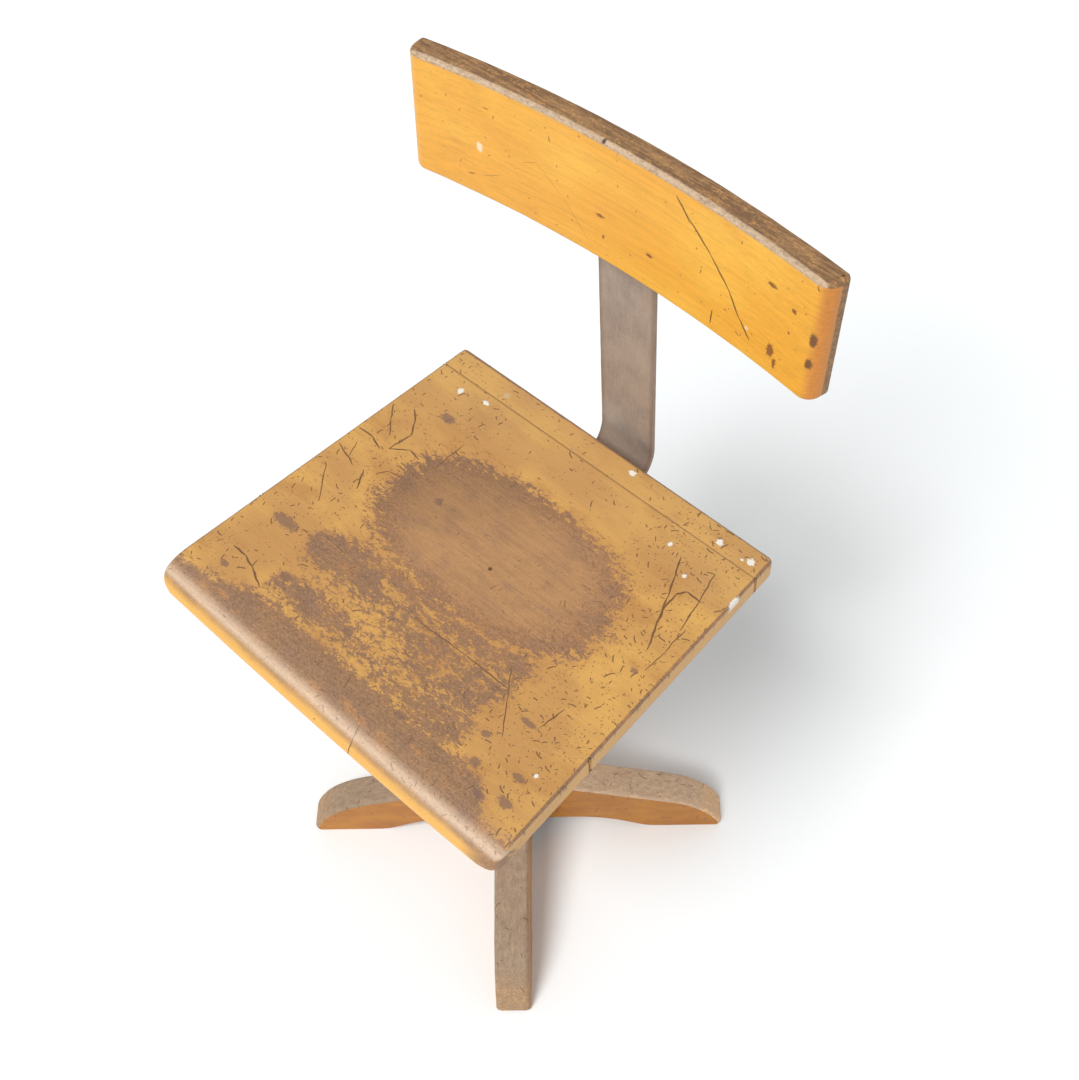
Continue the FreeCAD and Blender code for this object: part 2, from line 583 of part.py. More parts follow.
def seat_hub():
    """Cast hub under the seat: square flange, ribs, and the boss that turns on the spindle."""
    half = HUB_FLANGE / 2.0
    flange_bottom = BLOCK_UNDERSIDE - HUB_FLANGE_THICKNESS
    flange = box(-half, half, -half, half, flange_bottom, BLOCK_UNDERSIDE)
    flange = flange.makeFillet(HUB_FLANGE_CORNER, [e for e in flange.Edges if e.BoundBox.ZLength > 1.0])
    boss = rod(HUB_RADIUS, HUB_BOTTOM, flange_bottom)
    side = -HUB_RIB_THICKNESS / 2.0
    rib = polygon([V(HUB_RADIUS - CUT, side, HUB_BOTTOM + HUB_RIB_RISE),
                   V(half - HUB_RIB_INSET, side, flange_bottom),
                   V(HUB_RADIUS - CUT, side, flange_bottom)])
    rib = rib.extrude(V(0, HUB_RIB_THICKNESS, 0))
    ribs = [turned(rib, 90.0 * k) for k in range(4)]
    body = flange.fuse([boss] + ribs).removeSplitter()
    body = body.cut(rod(JOURNAL_RADIUS + RUNNING_CLEARANCE, HUB_BOTTOM - CUT, BLOCK_UNDERSIDE))
    body = body.cut(rod(HUB_RECESS_RADIUS, JOURNAL_TOP, BLOCK_UNDERSIDE + CUT))
    for place in hub_flange_screws():
        body = body.cut(screw_hole(*place))
    return body


# ---------------------------------------------------------------- backrest

def bar():
    """Flat spring-steel bar: level under the seat, one bend up behind it, a slight set at the board."""
    half = BAR_WIDTH / 2.0
    inner = BAR_BEND_RADIUS
    outer = inner + BAR_THICKNESS
    centre = (BAR_FRONT_Y - inner, BAR_FLAT_TOP + inner)
    rise = BAR_TOP_Z - BAR_SET_Z
    lean = math.tan(math.radians(LEAN))
    rear_y = BAR_FRONT_Y + BAR_THICKNESS

    def at(y, z):
        return V(-half, y, z)

    def on_bend(radius):
        point = arc_middle(centre, radius, -90.0, 0.0)
        return at(point.y, point.z)

    edges = [
        line(at(BAR_END_Y, BAR_FLAT_TOP), at(centre[0], BAR_FLAT_TOP)),
        arc(at(centre[0], BAR_FLAT_TOP), on_bend(inner), at(BAR_FRONT_Y, centre[1])),
        line(at(BAR_FRONT_Y, centre[1]), at(BAR_FRONT_Y, BAR_SET_Z)),
        line(at(BAR_FRONT_Y, BAR_SET_Z), at(BAR_FRONT_Y + rise * lean, BAR_TOP_Z)),
        line(at(BAR_FRONT_Y + rise * lean, BAR_TOP_Z), at(rear_y + rise * lean, BAR_TOP_Z)),
        line(at(rear_y + rise * lean, BAR_TOP_Z), at(rear_y, BAR_SET_Z)),
        line(at(rear_y, BAR_SET_Z), at(rear_y, centre[1])),
        arc(at(rear_y, centre[1]), on_bend(outer), at(centre[0], BAR_FLAT_BOTTOM)),
        line(at(centre[0], BAR_FLAT_BOTTOM), at(BAR_END_Y, BAR_FLAT_BOTTOM)),
        line(at(BAR_END_Y, BAR_FLAT_BOTTOM), at(BAR_END_Y, BAR_FLAT_TOP)),
    ]
    body = Part.Face(Part.Wire(edges)).extrude(V(BAR_WIDTH, 0, 0))
    corners = [e for e in body.Edges if e.BoundBox.XLength < NEAR and e.Length < BAR_THICKNESS + NEAR]
    body = body.makeFillet(BAR_CORNER_RADIUS, corners)
    for hole in board_screws(FIT):
        body = body.cut(hole)
    return body


def leaned(shape):
    """Tilt a piece that was drawn upright about the line where the bar's set starts."""
    shape.rotate(V(0, BAR_FRONT_Y, BAR_SET_Z), V(1, 0, 0), -LEAN)
    return shape


def board():
    """Curved backrest board: concave front, convex back, ends rounded into the front face."""
    back_y = BAR_FRONT_Y + BOARD_NOTCH_DEPTH
    front_y = back_y - BOARD_THICKNESS
    half = BOARD_WIDTH / 2.0
    outer = BOARD_CURVE_RADIUS + BOARD_THICKNESS
    front_drop = BOARD_CURVE_RADIUS - math.sqrt(BOARD_CURVE_RADIUS ** 2 - half ** 2)
    rear_half = half * outer / BOARD_CURVE_RADIUS
    rear_drop = outer - math.sqrt(outer ** 2 - rear_half ** 2)
    bottom = BOARD_CENTRE_Z - BOARD_HEIGHT / 2.0

    def at(x, y):
        return V(x, y, bottom)

    edges = [
        arc(at(-half, front_y - front_drop), at(0, front_y), at(half, front_y - front_drop)),
        line(at(half, front_y - front_drop), at(rear_half, back_y - rear_drop)),
        arc(at(rear_half, back_y - rear_drop), at(0, back_y), at(-rear_half, back_y - rear_drop)),
        line(at(-rear_half, back_y - rear_drop), at(-half, front_y - front_drop)),
    ]
    body = Part.Face(Part.Wire(edges)).extrude(V(0, 0, BOARD_HEIGHT))
    ends = ((BOARD_FRONT_END_RADIUS, front_y - front_drop), (BOARD_REAR_END_RADIUS, back_y - rear_drop))
    for radius, y in ends:
        upright = [e for e in body.Edges if e.BoundBox.ZLength > BOARD_HEIGHT - NEAR
                   and abs(e.BoundBox.YMin - y) < CUT]
        body = body.makeFillet(radius, upright)
    body = body.makeFillet(BOARD_EDGE_RADIUS, [e for e in body.Edges if e.BoundBox.ZLength < NEAR])
    notch = box(-BAR_WIDTH / 2.0 - CUT, BAR_WIDTH / 2.0 + CUT, BAR_FRONT_Y, BAR_FRONT_Y + BOARD_THICKNESS,
                bottom - CUT, BAR_TOP_Z + BOARD_NOTCH_GAP)
    body = leaned(body.cut(notch))
    for hole in board_screws(FIT):
        body = body.cut(hole)
    return body


def board_screws(ease=0.0):
    """Round-head screws driven forward through the bar into the board, drawn upright then leaned."""
    head_y = BAR_FRONT_Y + BAR_THICKNESS
    screws = []
    for side in (-1, 1):
        for rise in (-BOARD_SCREW_RISE, BOARD_SCREW_RISE):
            x = side * BOARD_SCREW_X
            z = BOARD_CENTRE_Z + rise
            shank = Part.makeCylinder(BOARD_SCREW_SHANK + ease, BAR_THICKNESS + BOARD_SCREW_GRIP + ease,
                                      V(x, head_y, z), V(0, -1, 0))
            if ease:
                screws.append(leaned(shank))
                continue
            dome = Part.makeSphere(DOME_RADIUS, V(x, head_y - DOME_SUNK, z))
            dome = dome.common(box(x - DOME_ROOM, x + DOME_ROOM, head_y, head_y + DOME_ROOM,
                                   z - DOME_ROOM, z + DOME_ROOM))
            slot = box(x - DOME_ROOM, x + DOME_ROOM, head_y + DOME_SLOT_DEPTH, head_y + DOME_ROOM,
                       z - DOME_SLOT_HALF, z + DOME_SLOT_HALF)
            screws.append(leaned(dome.fuse(shank).cut(slot)))
    return screws


def bar_guide():
    """Pressed strap that holds the bar up against the block, with a boss for the clamp screw."""
    inner = BAR_WIDTH / 2.0 + GUIDE_SIDE_GAP
    floor_top = BAR_FLAT_BOTTOM - 2.0 * FACE_GAP
    floor_bottom = floor_top - GUIDE_PLATE
    walls = inner + GUIDE_PLATE
    tray = box(-walls, walls, GUIDE_FRONT_Y, GUIDE_REAR_Y, floor_bottom, BLOCK_UNDERSIDE)
    tray = tray.cut(box(-inner, inner, GUIDE_FRONT_Y - CUT, GUIDE_REAR_Y + CUT,
                        floor_top, BLOCK_UNDERSIDE + CUT))
    ears = [box(x0, x1, GUIDE_FRONT_Y, GUIDE_REAR_Y, BLOCK_UNDERSIDE - GUIDE_PLATE, BLOCK_UNDERSIDE)
            for x0, x1 in ((-GUIDE_HALF_WIDTH, -walls), (walls, GUIDE_HALF_WIDTH))]
    boss = rod(CLAMP_BOSS_RADIUS, CLAMP_BOSS_BOTTOM, floor_bottom, 0.0, CLAMP_Y)
    body = tray.fuse(ears + [boss]).removeSplitter()
    body = body.cut(rod(M8_RADIUS + RUNNING_CLEARANCE, CLAMP_BOSS_BOTTOM - CUT, floor_top + CUT,
                        0.0, CLAMP_Y))
    for place in guide_screws():
        body = body.cut(screw_hole(*place))
    return body


def clamp_screw():
    return rod(M8_RADIUS, KNOB_BOTTOM + CLAMP_SCREW_RISE, BAR_FLAT_BOTTOM - FACE_GAP, 0.0, CLAMP_Y)


def clamp_knob():
    """Lobed hand knob on the clamp screw."""
    reach = KNOB_RADIUS - KNOB_LOBE_RADIUS
    grip_top = KNOB_TOP - KNOB_NECK
    body = rod(reach + CUT, KNOB_BOTTOM, grip_top, 0.0, CLAMP_Y)
    for k in range(KNOB_LOBES):
        angle = math.radians(360.0 / KNOB_LOBES * k)
        body = body.fuse(rod(KNOB_LOBE_RADIUS, KNOB_BOTTOM, grip_top,
                             reach * math.cos(angle), CLAMP_Y + reach * math.sin(angle)))
    body = body.fuse(rod(KNOB_RADIUS / 2.0, grip_top, KNOB_TOP, 0.0, CLAMP_Y)).removeSplitter()
    return body.cut(clamp_screw())


# ---------------------------------------------------------------- the whole chair

def nodes():
    parts = {}
    for k, name in enumerate(("foot_rear_right", "foot_rear_left", "foot_front_left", "foot_front_right")):
        parts[name] = turned(foot(), BASE_TURN + 90.0 * k)
    parts["column"] = column()
    parts["tie_plate"] = tie_plate()
    parts["tie_plate_screws"] = group(tie_screws())
    parts["column_ferrule"] = ferrule()
    parts["guide_flange"] = guide_flange()
    parts["guide_flange_screws"] = group([turned(flange_screw(), BASE_TURN + 45.0 + 90.0 * k)
                                          for k in range(4)])
    parts["guide_key"] = guide_key()
    parts["wheel_washer"] = ring(WHEEL_HUB_RADIUS - 1.0, SPINDLE_RADIUS + 1.0,
                                 FLANGE_TOP, WHEEL_BOTTOM - FACE_GAP)

    parts["hand_wheel"] = hand_wheel()
    parts["wheel_nut"] = wheel_nut()

    parts["spindle"] = spindle()
    parts["stop_collar"] = stop_collar()
    parts["collar_pin"] = collar_pin()
    parts["swivel_washer"] = ring(HUB_RADIUS - 1.0, JOURNAL_RADIUS, SHOULDER_TOP, HUB_BOTTOM - FACE_GAP)
    parts["retaining_washer"] = ring(HUB_RECESS_RADIUS - 2.0, M8_RADIUS, JOURNAL_TOP + FACE_GAP,
                                     JOURNAL_TOP + FACE_GAP + WASHER_THICKNESS)
    parts["retaining_screw"] = retaining_screw()

    parts["seat_hub"] = seat_hub()
    parts["seat_hub_screws"] = group([wood_screw(*place) for place in hub_flange_screws()])
    parts["seat_block"] = seat_block()
    parts["seat_block_screws"] = group([wood_screw(*place) for place in block_screws()])
    parts.update(seat_boards())
    parts["batten_left"] = batten(-1)
    parts["batten_right"] = batten(1)
    parts["batten_screws"] = group([wood_screw(*place) for place in batten_screws()])
    parts["bar_guide"] = bar_guide()
    parts["bar_guide_screws"] = group([wood_screw(*place) for place in guide_screws()])

    parts["backrest_bar"] = bar()
    parts["backrest_board"] = board()
    parts["backrest_screws"] = group(board_screws())

    parts["clamp_screw"] = clamp_screw()
    parts["clamp_knob"] = clamp_knob()
    return parts


os.makedirs("parts", exist_ok=True)
for node, shape in nodes().items():
    if not shape.isValid():
        print("not valid:", node)
    print(node, len(shape.Solids), "solids", round(shape.Volume / 1000.0, 1), "cm3")
    shape.exportStep("parts/" + node + ".step")
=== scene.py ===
import math

import bpy
from mathutils import Matrix, Vector, noise


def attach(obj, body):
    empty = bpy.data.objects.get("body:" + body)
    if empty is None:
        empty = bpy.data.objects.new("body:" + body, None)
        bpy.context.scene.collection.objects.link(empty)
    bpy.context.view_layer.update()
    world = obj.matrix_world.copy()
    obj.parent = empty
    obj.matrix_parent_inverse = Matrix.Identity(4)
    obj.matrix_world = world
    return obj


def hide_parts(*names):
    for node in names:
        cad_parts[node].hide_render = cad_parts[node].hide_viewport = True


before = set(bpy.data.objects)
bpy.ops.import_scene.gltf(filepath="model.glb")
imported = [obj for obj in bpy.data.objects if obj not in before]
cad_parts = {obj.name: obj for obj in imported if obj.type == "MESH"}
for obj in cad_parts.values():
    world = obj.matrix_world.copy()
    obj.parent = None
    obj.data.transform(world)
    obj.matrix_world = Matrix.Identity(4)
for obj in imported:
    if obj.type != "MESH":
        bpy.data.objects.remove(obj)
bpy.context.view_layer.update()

# Lengths are in millimetres until a mesh is made.  +Z is up, the sitter faces -Y.
MM = 0.001
# Colours are written as they look in the studio light; this turns them into surface colours.
SEEN = 0.95

SEAT_TOP = 480.0
SEAT_UNDERSIDE = 458.0
SEAT_FRONT_Y = -196.5
SEAT_REAR_Y = 159.0
SEAT_FRONT_HALF = 200.0
SEAT_TAPER = 17.5 / 355.5
FRONT_SEAM_Y = -81.0
REAR_SEAM_Y = 133.5
ROLL_RUN = 34.0
ROLL_RADIUS = 58.0
FRONT_CORNER = 14.0
REAR_CORNER = 4.0
SEAT_RIM = 2.5

BAR_FRONT_Y = 181.0
BAR_HALF_WIDTH = 30.0
BAR_SET_Z = 690.0
BAR_TOP_Z = 788.0
BAR_END_Y = 72.0
BAR_THICKNESS = 4.0
BAR_FLAT_TOP = 445.8
BAR_BEND = 32.0
LEAN = math.radians(3.85)
BOARD_CENTRE_Z = 747.25
BOARD_RADIUS = 1160.0
BOARD_THICKNESS = 22.0
BOARD_NOTCH = 3.5
BOARD_NOTCH_END = 42.25
BOARD_FRONT_Y = BAR_FRONT_Y + BOARD_NOTCH - BOARD_THICKNESS
BOARD_HALF_LENGTH = 202.8
BOARD_HALF_HEIGHT = 54.75
BOARD_FRONT_END = 12.0
BOARD_REAR_END = 4.5
BOARD_TILT = 0.0065         # the board's right end sits a little higher than its left

BASE_TURN = 43.0
HUB_FLAT = 36.0
HUB_CORNER = 38.18
HUB_TOP = 112.0
ARCH_HEIGHT = 23.0
ARCH_START = 64.0
ARCH_END = 138.0
FOOT_ROOT_Z = 97.0
FOOT_CURVE = (165.0, 57.5)
FOOT_REACH = 220.0
FOOT_TIP_Z = 5.0
FOOT_HALF_WIDTH = 17.5


# ---------------------------------------------------------------- meshes

def make_piece(name, verts, faces, body, replaces, slot, material):
    """A smooth-shaded piece from vertices in millimetres, riding on a CAD body."""
    mesh = bpy.data.meshes.new(name)
    mesh.from_pydata([Vector(v) * MM for v in verts], [], faces)
    mesh.update()
    mesh.validate()
    piece = bpy.data.objects.new(name, mesh)
    bpy.context.scene.collection.objects.link(piece)
    mesh.polygons.foreach_set("use_smooth", [True] * len(mesh.polygons))
    mesh.materials.append(material)
    weighted = piece.modifiers.new("normals", "WEIGHTED_NORMAL")
    weighted.keep_sharp = True
    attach(piece, body)
    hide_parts(*replaces)
    return piece


def arc_points(centre, radius, start, end, steps):
    """Points on an arc, by angle in degrees, both ends included."""
    points = []
    for k in range(steps + 1):
        a = math.radians(start + (end - start) * k / steps)
        points.append((centre[0] + radius * math.cos(a), centre[1] + radius * math.sin(a)))
    return points


def run(a, b, step):
    """Points from a to b at about this step, without the last."""
    length = math.dist(a, b)
    count = max(1, round(length / step))
    return [(a[0] + (b[0] - a[0]) * k / count, a[1] + (b[1] - a[1]) * k / count) for k in range(count)]


def resample(points, count):
    """The same polyline with this many points, evenly spaced."""
    lengths = [0]
    for a, b in zip(points, points[1:]):
        lengths.append(lengths[-1] + math.dist(a, b))
    out = []
    j = 0
    for k in range(count):
        want = lengths[-1] * k / (count - 1)
        while j < len(points) - 2 and lengths[j + 1] < want:
            j += 1
        t = (want - lengths[j]) / max(lengths[j + 1] - lengths[j], 1e-9)
        a, b = points[j], points[j + 1]
        out.append((a[0] + (b[0] - a[0]) * t, a[1] + (b[1] - a[1]) * t))
    return out


def ring_normals(ring):
    """Outward unit normals of a closed 2-D ring."""
    area = sum(a[0] * b[1] - b[0] * a[1] for a, b in zip(ring, ring[1:] + ring[:1]))
    sign = 1 if area > 0 else -1
    normals = []
    for k, p in enumerate(ring):
        before, after = ring[k - 1], ring[(k + 1) % len(ring)]
        total = Vector((0, 0))
        for a, b in ((before, p), (p, after)):
            edge = Vector((b[0] - a[0], b[1] - a[1]))
            if edge.length > 1e-9:
                total += Vector((edge.y, -edge.x)).normalized() * sign
        normals.append(total.normalized())
    return normals


def slab(upper, lower, half_width, rim, across, place, cuts=4):
    """Sweeps a closed outline sideways and rounds its rims.

    upper and lower are the outline's two sides, point for point.  half_width(point, k) gives the
    half width there, and rim(normal) the radius of the rim for an outline normal.
    """
    count = len(upper)
    ring = upper + lower[::-1]
    normals = ring_normals(ring)
    radii = [rim(n) for n in normals]
    stations = []
    for k in range(cuts):
        stations.append((-1, 90 - 90 * k / cuts))
    for k in range(across + 1):
        stations.append((0, -1 + 2 * k / across))
    for k in range(cuts - 1, -1, -1):
        stations.append((1, 90 - 90 * k / cuts))
    verts, faces = [], []
    for side, value in stations:
        for i, (p, n, r) in enumerate(zip(ring, normals, radii)):
            pair = i if i < count else 2 * count - 1 - i
            if side:
                a = math.radians(value)
                inset = r * (1 - math.cos(a))
                point = (p[0] - n.x * inset, p[1] - n.y * inset)
                x = side * (half_width(point, pair) - r * (1 - math.sin(a)))
            else:
                point = p
                x = value * (half_width(point, pair) - r)
            verts.append(place(x, point[0], point[1]))
    size = len(ring)
    for s in range(len(stations) - 1):
        for i in range(size):
            j = (i + 1) % size
            faces.append((s * size + i, s * size + j, (s + 1) * size + j, (s + 1) * size + i))
    last = (len(stations) - 1) * size
    for i in range(count - 1):
        a, b = i, i + 1
        c, d = size - 2 - i, size - 1 - i
        faces.append((b, a, d, c))
        faces.append((last + a, last + b, last + c, last + d))
    return fix_winding(verts, faces)


def fix_winding(verts, faces):
    """Turns all faces round if the closed shell is inside out."""
    volume = 0
    for f in faces:
        a = Vector(verts[f[0]])
        for k in range(1, len(f) - 1):
            volume += a.dot(Vector(verts[f[k]]).cross(Vector(verts[f[k + 1]])))
    if volume < 0:
        faces = [tuple(reversed(f)) for f in faces]
    return verts, faces


def stack(loops):
    """A surface through closed loops of equally many points, with flat ends."""
    size = len(loops[0])
    verts = [v for loop in loops for v in loop]
    faces = []
    for s in range(len(loops) - 1):
        for i in range(size):
            j = (i + 1) % size
            faces.append((s * size + i, s * size + j, (s + 1) * size + j, (s + 1) * size + i))
    faces.append(tuple(range(size - 1, -1, -1)))
    faces.append(tuple(range((len(loops) - 1) * size, len(loops) * size)))
    return fix_winding(verts, faces)


def wander(p, amount, size, seed):
    """A smooth, seeded offset of a point, for worn edges."""
    q = Vector(p) / size + Vector((seed * 7.3, seed * 3.1, seed * 5.7))
    return amount * noise.noise(q)


def dish(x, y):
    """How far the seat is hollowed by use."""
    q = ((x - 3) / 150) ** 2 + ((y - 8) / 105) ** 2
    return 1.6 * math.exp(-q * q)


def seat_half(y):
    """Half the seat's width, with the plan's round corners."""
    half = SEAT_FRONT_HALF - SEAT_TAPER * (y - SEAT_FRONT_Y)
    front = y - (SEAT_FRONT_Y - 1)
    if front < FRONT_CORNER:
        half -= FRONT_CORNER - math.sqrt(max(0, FRONT_CORNER ** 2 - (FRONT_CORNER - front) ** 2))
    rear = SEAT_REAR_Y - y
    if rear < REAR_CORNER:
        half -= REAR_CORNER - math.sqrt(max(0, REAR_CORNER ** 2 - (REAR_CORNER - rear) ** 2))
    return half


def board_edge(y, inward, radius):
    """The upper half of a board's long edge, from the middle of its face up to the top."""
    centre = (y + inward * radius, SEAT_TOP - radius)
    start = 0 if inward < 0 else 180
    steps = 3 if radius > 1 else 1
    return [(y, SEAT_TOP - 9), (y, SEAT_TOP - 4)] + arc_points(centre, radius, start, 90, steps)


def mirror_down(points):
    return [(y, SEAT_TOP + SEAT_UNDERSIDE - z) for y, z in points]


def drawn_in(x, y):
    """How far the seat's slightly bowed front edge and skewed rear edge lie from straight."""
    front = min(1, max(0, (-60 - y) / 136))
    rear = min(1, max(0, (y - 100) / 59))
    corner = max(0, x / 200) ** 4
    return front * (1.1 + 2.2 * (x / 200) ** 2 + corner) + rear * (0.4 - 0.9 * x / 182)


def seat_place(x, y, z):
    depth = dish(x, y) * min(1, max(0, (z - 464) / 16))
    rounding = wander((x, y, z), 0.22, 26, 1) + wander((x, y, z), 0.1, 7, 2)
    edge = min(abs(seat_half(y) - abs(x)), abs(y - SEAT_REAR_Y))
    near = math.exp(-(edge / 5) ** 2)
    worn = abs(rounding) * near
    return (x - math.copysign(worn, x), y + drawn_in(x, y),
            z - depth - math.copysign(worn * 0.6, z - 470))


def seat_boards(material):
    rear = board_edge(SEAT_REAR_Y, -1, SEAT_RIM)
    boards = {
        "seat_rear_strip": (rear, (SEAT_REAR_Y - SEAT_RIM, REAR_SEAM_Y + 0.4),
                            board_edge(REAR_SEAM_Y, 1, 0.4)),
        "seat_middle_board": (board_edge(REAR_SEAM_Y, -1, 0.4), (REAR_SEAM_Y - 0.4, FRONT_SEAM_Y + 0.15),
                              board_edge(FRONT_SEAM_Y, 1, 0.15)),
    }
    for name, (back, (y0, y1), front) in boards.items():
        top = back[:-1] + run((y0, SEAT_TOP), (y1, SEAT_TOP), 5) + front[::-1]
        make_piece(name, *slab(top, mirror_down(top), lambda p, k: seat_half(p[0]), lambda n: SEAT_RIM,
                               84, seat_place), "seat", [name], "seat_wood", material)
    back = board_edge(FRONT_SEAM_Y, -1, 0.15)
    roll = math.degrees(math.asin(ROLL_RUN / (ROLL_RADIUS + 1)))
    big = (SEAT_FRONT_Y + ROLL_RUN, SEAT_TOP - ROLL_RADIUS)
    join = arc_points(big, ROLL_RADIUS, 90, 90 + roll, 1)[1]
    away = (-math.sin(math.radians(roll)), math.cos(math.radians(roll)))
    nose = (join[1] - SEAT_UNDERSIDE) / (1 + away[1])
    centre = (join[0] - away[0] * nose, join[1] - away[1] * nose)
    level = run((FRONT_SEAM_Y - 0.15, SEAT_TOP), (big[0], SEAT_TOP), 5)
    curve = arc_points(big, ROLL_RADIUS, 90, 90 + roll, 10)
    middle = (90 + roll + 270) / 2
    upper_nose = arc_points(centre, nose, 90 + roll, middle - 4, 5)
    lower_nose = arc_points(centre, nose, 270, middle + 4, 5)
    top = back[:-1] + level + curve[:-1] + upper_nose
    bottom = mirror_down(back)[:-1] + [(y, SEAT_UNDERSIDE) for y, z in level]
    bottom += [(big[0] + (y - big[0]) * (centre[0] - big[0]) / (join[0] - big[0]), SEAT_UNDERSIDE)
               for y, z in curve[:-1]]
    bottom += lower_nose
    make_piece("seat_front_board", *slab(top, bottom, lambda p, k: seat_half(p[0]), lambda n: SEAT_RIM,
                                         84, seat_place), "seat", ["seat_front_board"], "seat_wood", material)


def lean(x, y, z):
    """From the upright board or bar to where it leans."""
    dy, dz = y - BAR_FRONT_Y, z - BAR_SET_Z
    return (x, BAR_FRONT_Y + dy * math.cos(LEAN) + dz * math.sin(LEAN),
            BAR_SET_Z - dy * math.sin(LEAN) + dz * math.cos(LEAN))


def board_outline():
    """The board seen from above as its front and rear sides, point for point, in (length, depth).

    Both run from the middle of the left end to the middle of the right.
    """
    end, deep = BOARD_HALF_LENGTH, BOARD_THICKNESS
    front_round = arc_points((BOARD_FRONT_END - end, BOARD_FRONT_END), BOARD_FRONT_END, 180, 270, 8)
    rear_round = arc_points((BOARD_REAR_END - end, deep - BOARD_REAR_END), BOARD_REAR_END, 180, 90, 8)
    front = [(-end, 14)] + front_round
    rear = [(-end, 15.5)] + rear_round
    notch = BAR_HALF_WIDTH + 1
    along = [k * 5 for k in range(-36, -6)] + [-notch - 0.02, -notch]
    along += [k * 5 for k in range(-6, 1)]
    for s in along:
        front.append((s, 0))
        spread = 7.5 * max(0, (abs(s) - 100) / 89)
        rear.append((s - spread, deep))
    for side in (front, rear):
        side += [(-s, n) for s, n in side[-2::-1]]
    return front, rear


def backrest_board(material):
    front, rear = board_outline()

    def place(h, s, n):
        angle = s / BOARD_RADIUS
        worn = wander((s, h, n), 0.5, 34, 3) + wander((s, h, n), 0.2, 9, 4)
        near = math.exp(-((min(BOARD_HALF_HEIGHT - abs(h), BOARD_HALF_LENGTH - abs(s))) / 4) ** 2)
        h2 = h - math.copysign(abs(worn) * near, h) + BOARD_TILT * s
        x = (BOARD_RADIUS + n) * math.sin(angle)
        y = BOARD_FRONT_Y - BOARD_RADIUS + (BOARD_RADIUS + n) * math.cos(angle)
        if abs(s) < BAR_HALF_WIDTH + 1.01 and n > BOARD_THICKNESS / 2 and h < BOARD_NOTCH_END:
            y = BAR_FRONT_Y + n - BOARD_THICKNESS
        return lean(x, y, BOARD_CENTRE_Z + h2)

    def rim(n):
        return math.hypot(5 * n.x, (4 if n.y < 0 else 2) * n.y)

    make_piece("backrest_board", *slab(front, rear, lambda p, k: BOARD_HALF_HEIGHT, rim, 28, place, 6),
               "backrest", ["backrest_board"], "back_wood", material)


def bar_path():
    """The bar's front and rear faces from its end under the seat to its top, point for point."""
    centre = (BAR_FRONT_Y - BAR_BEND, BAR_FLAT_TOP + BAR_BEND)
    slope = math.tan(LEAN)
    front, rear = [], []
    for y in (0, 1, 2.2, 3.8, 6, 12, 25, 50, 75):
        front.append((BAR_END_Y + y, BAR_FLAT_TOP))
        rear.append((BAR_END_Y + y, BAR_FLAT_TOP - BAR_THICKNESS))
    bend_in = arc_points(centre, BAR_BEND, -90, 0, 14)
    bend_out = arc_points(centre, BAR_BEND + BAR_THICKNESS, -90, 0, 14)
    front += bend_in
    rear += bend_out
    z = centre[1]
    while z + 9 < BAR_SET_Z:
        z += 8
        front.append((BAR_FRONT_Y, z))
        rear.append((BAR_FRONT_Y + BAR_THICKNESS, z))
    rise = BAR_TOP_Z - BAR_SET_Z
    for z in (0, 8, 20, 40, 60, 80, 85, 88, 90, 92.2, 93.8, 95, rise):
        front.append((BAR_FRONT_Y + z * slope, BAR_SET_Z + z))
        rear.append((BAR_FRONT_Y + BAR_THICKNESS + z * slope, BAR_SET_Z + z))
    return front, rear


def backrest_bar(material):
    front, rear = bar_path()
    lengths = [0]
    for a, b in zip(front, front[1:]):
        lengths.append(lengths[-1] + math.dist(a, b))

    def half(p, k):
        t = min(lengths[k], lengths[-1] - lengths[k])
        corner = 6
        if t >= corner:
            return BAR_HALF_WIDTH
        return BAR_HALF_WIDTH - corner + math.sqrt(max(0, corner ** 2 - (corner - t) ** 2))

    def place(x, y, z):
        pit = wander((x, y, z), 0.12, 16, 5) + wander((x, y, z), 0.06, 5, 6)
        worn = math.exp(-((BAR_HALF_WIDTH - abs(x)) / 2) ** 2)
        return (x - math.copysign(abs(pit) * 2 * worn, x), y + abs(pit) * 0.4 * worn, z)

    make_piece("backrest_bar", *slab(front, rear, half, lambda n: 1.1, 26, place, 3),
               "backrest", ["backrest_bar"], "spring_steel", material)


def foot_arc():
    """Centre and radius of the arc that the foot's top ends in."""
    u0, z0 = FOOT_CURVE
    slope = (FOOT_ROOT_Z - z0) / (u0 - HUB_FLAT)
    tangent = Vector((1, -slope)).normalized()
    normal = Vector((tangent.y, -tangent.x))
    chord = Vector((FOOT_REACH - u0, FOOT_TIP_Z - z0))
    radius = chord.length_squared / (2 * normal.dot(chord))
    return Vector((u0, z0)) + normal * radius, radius


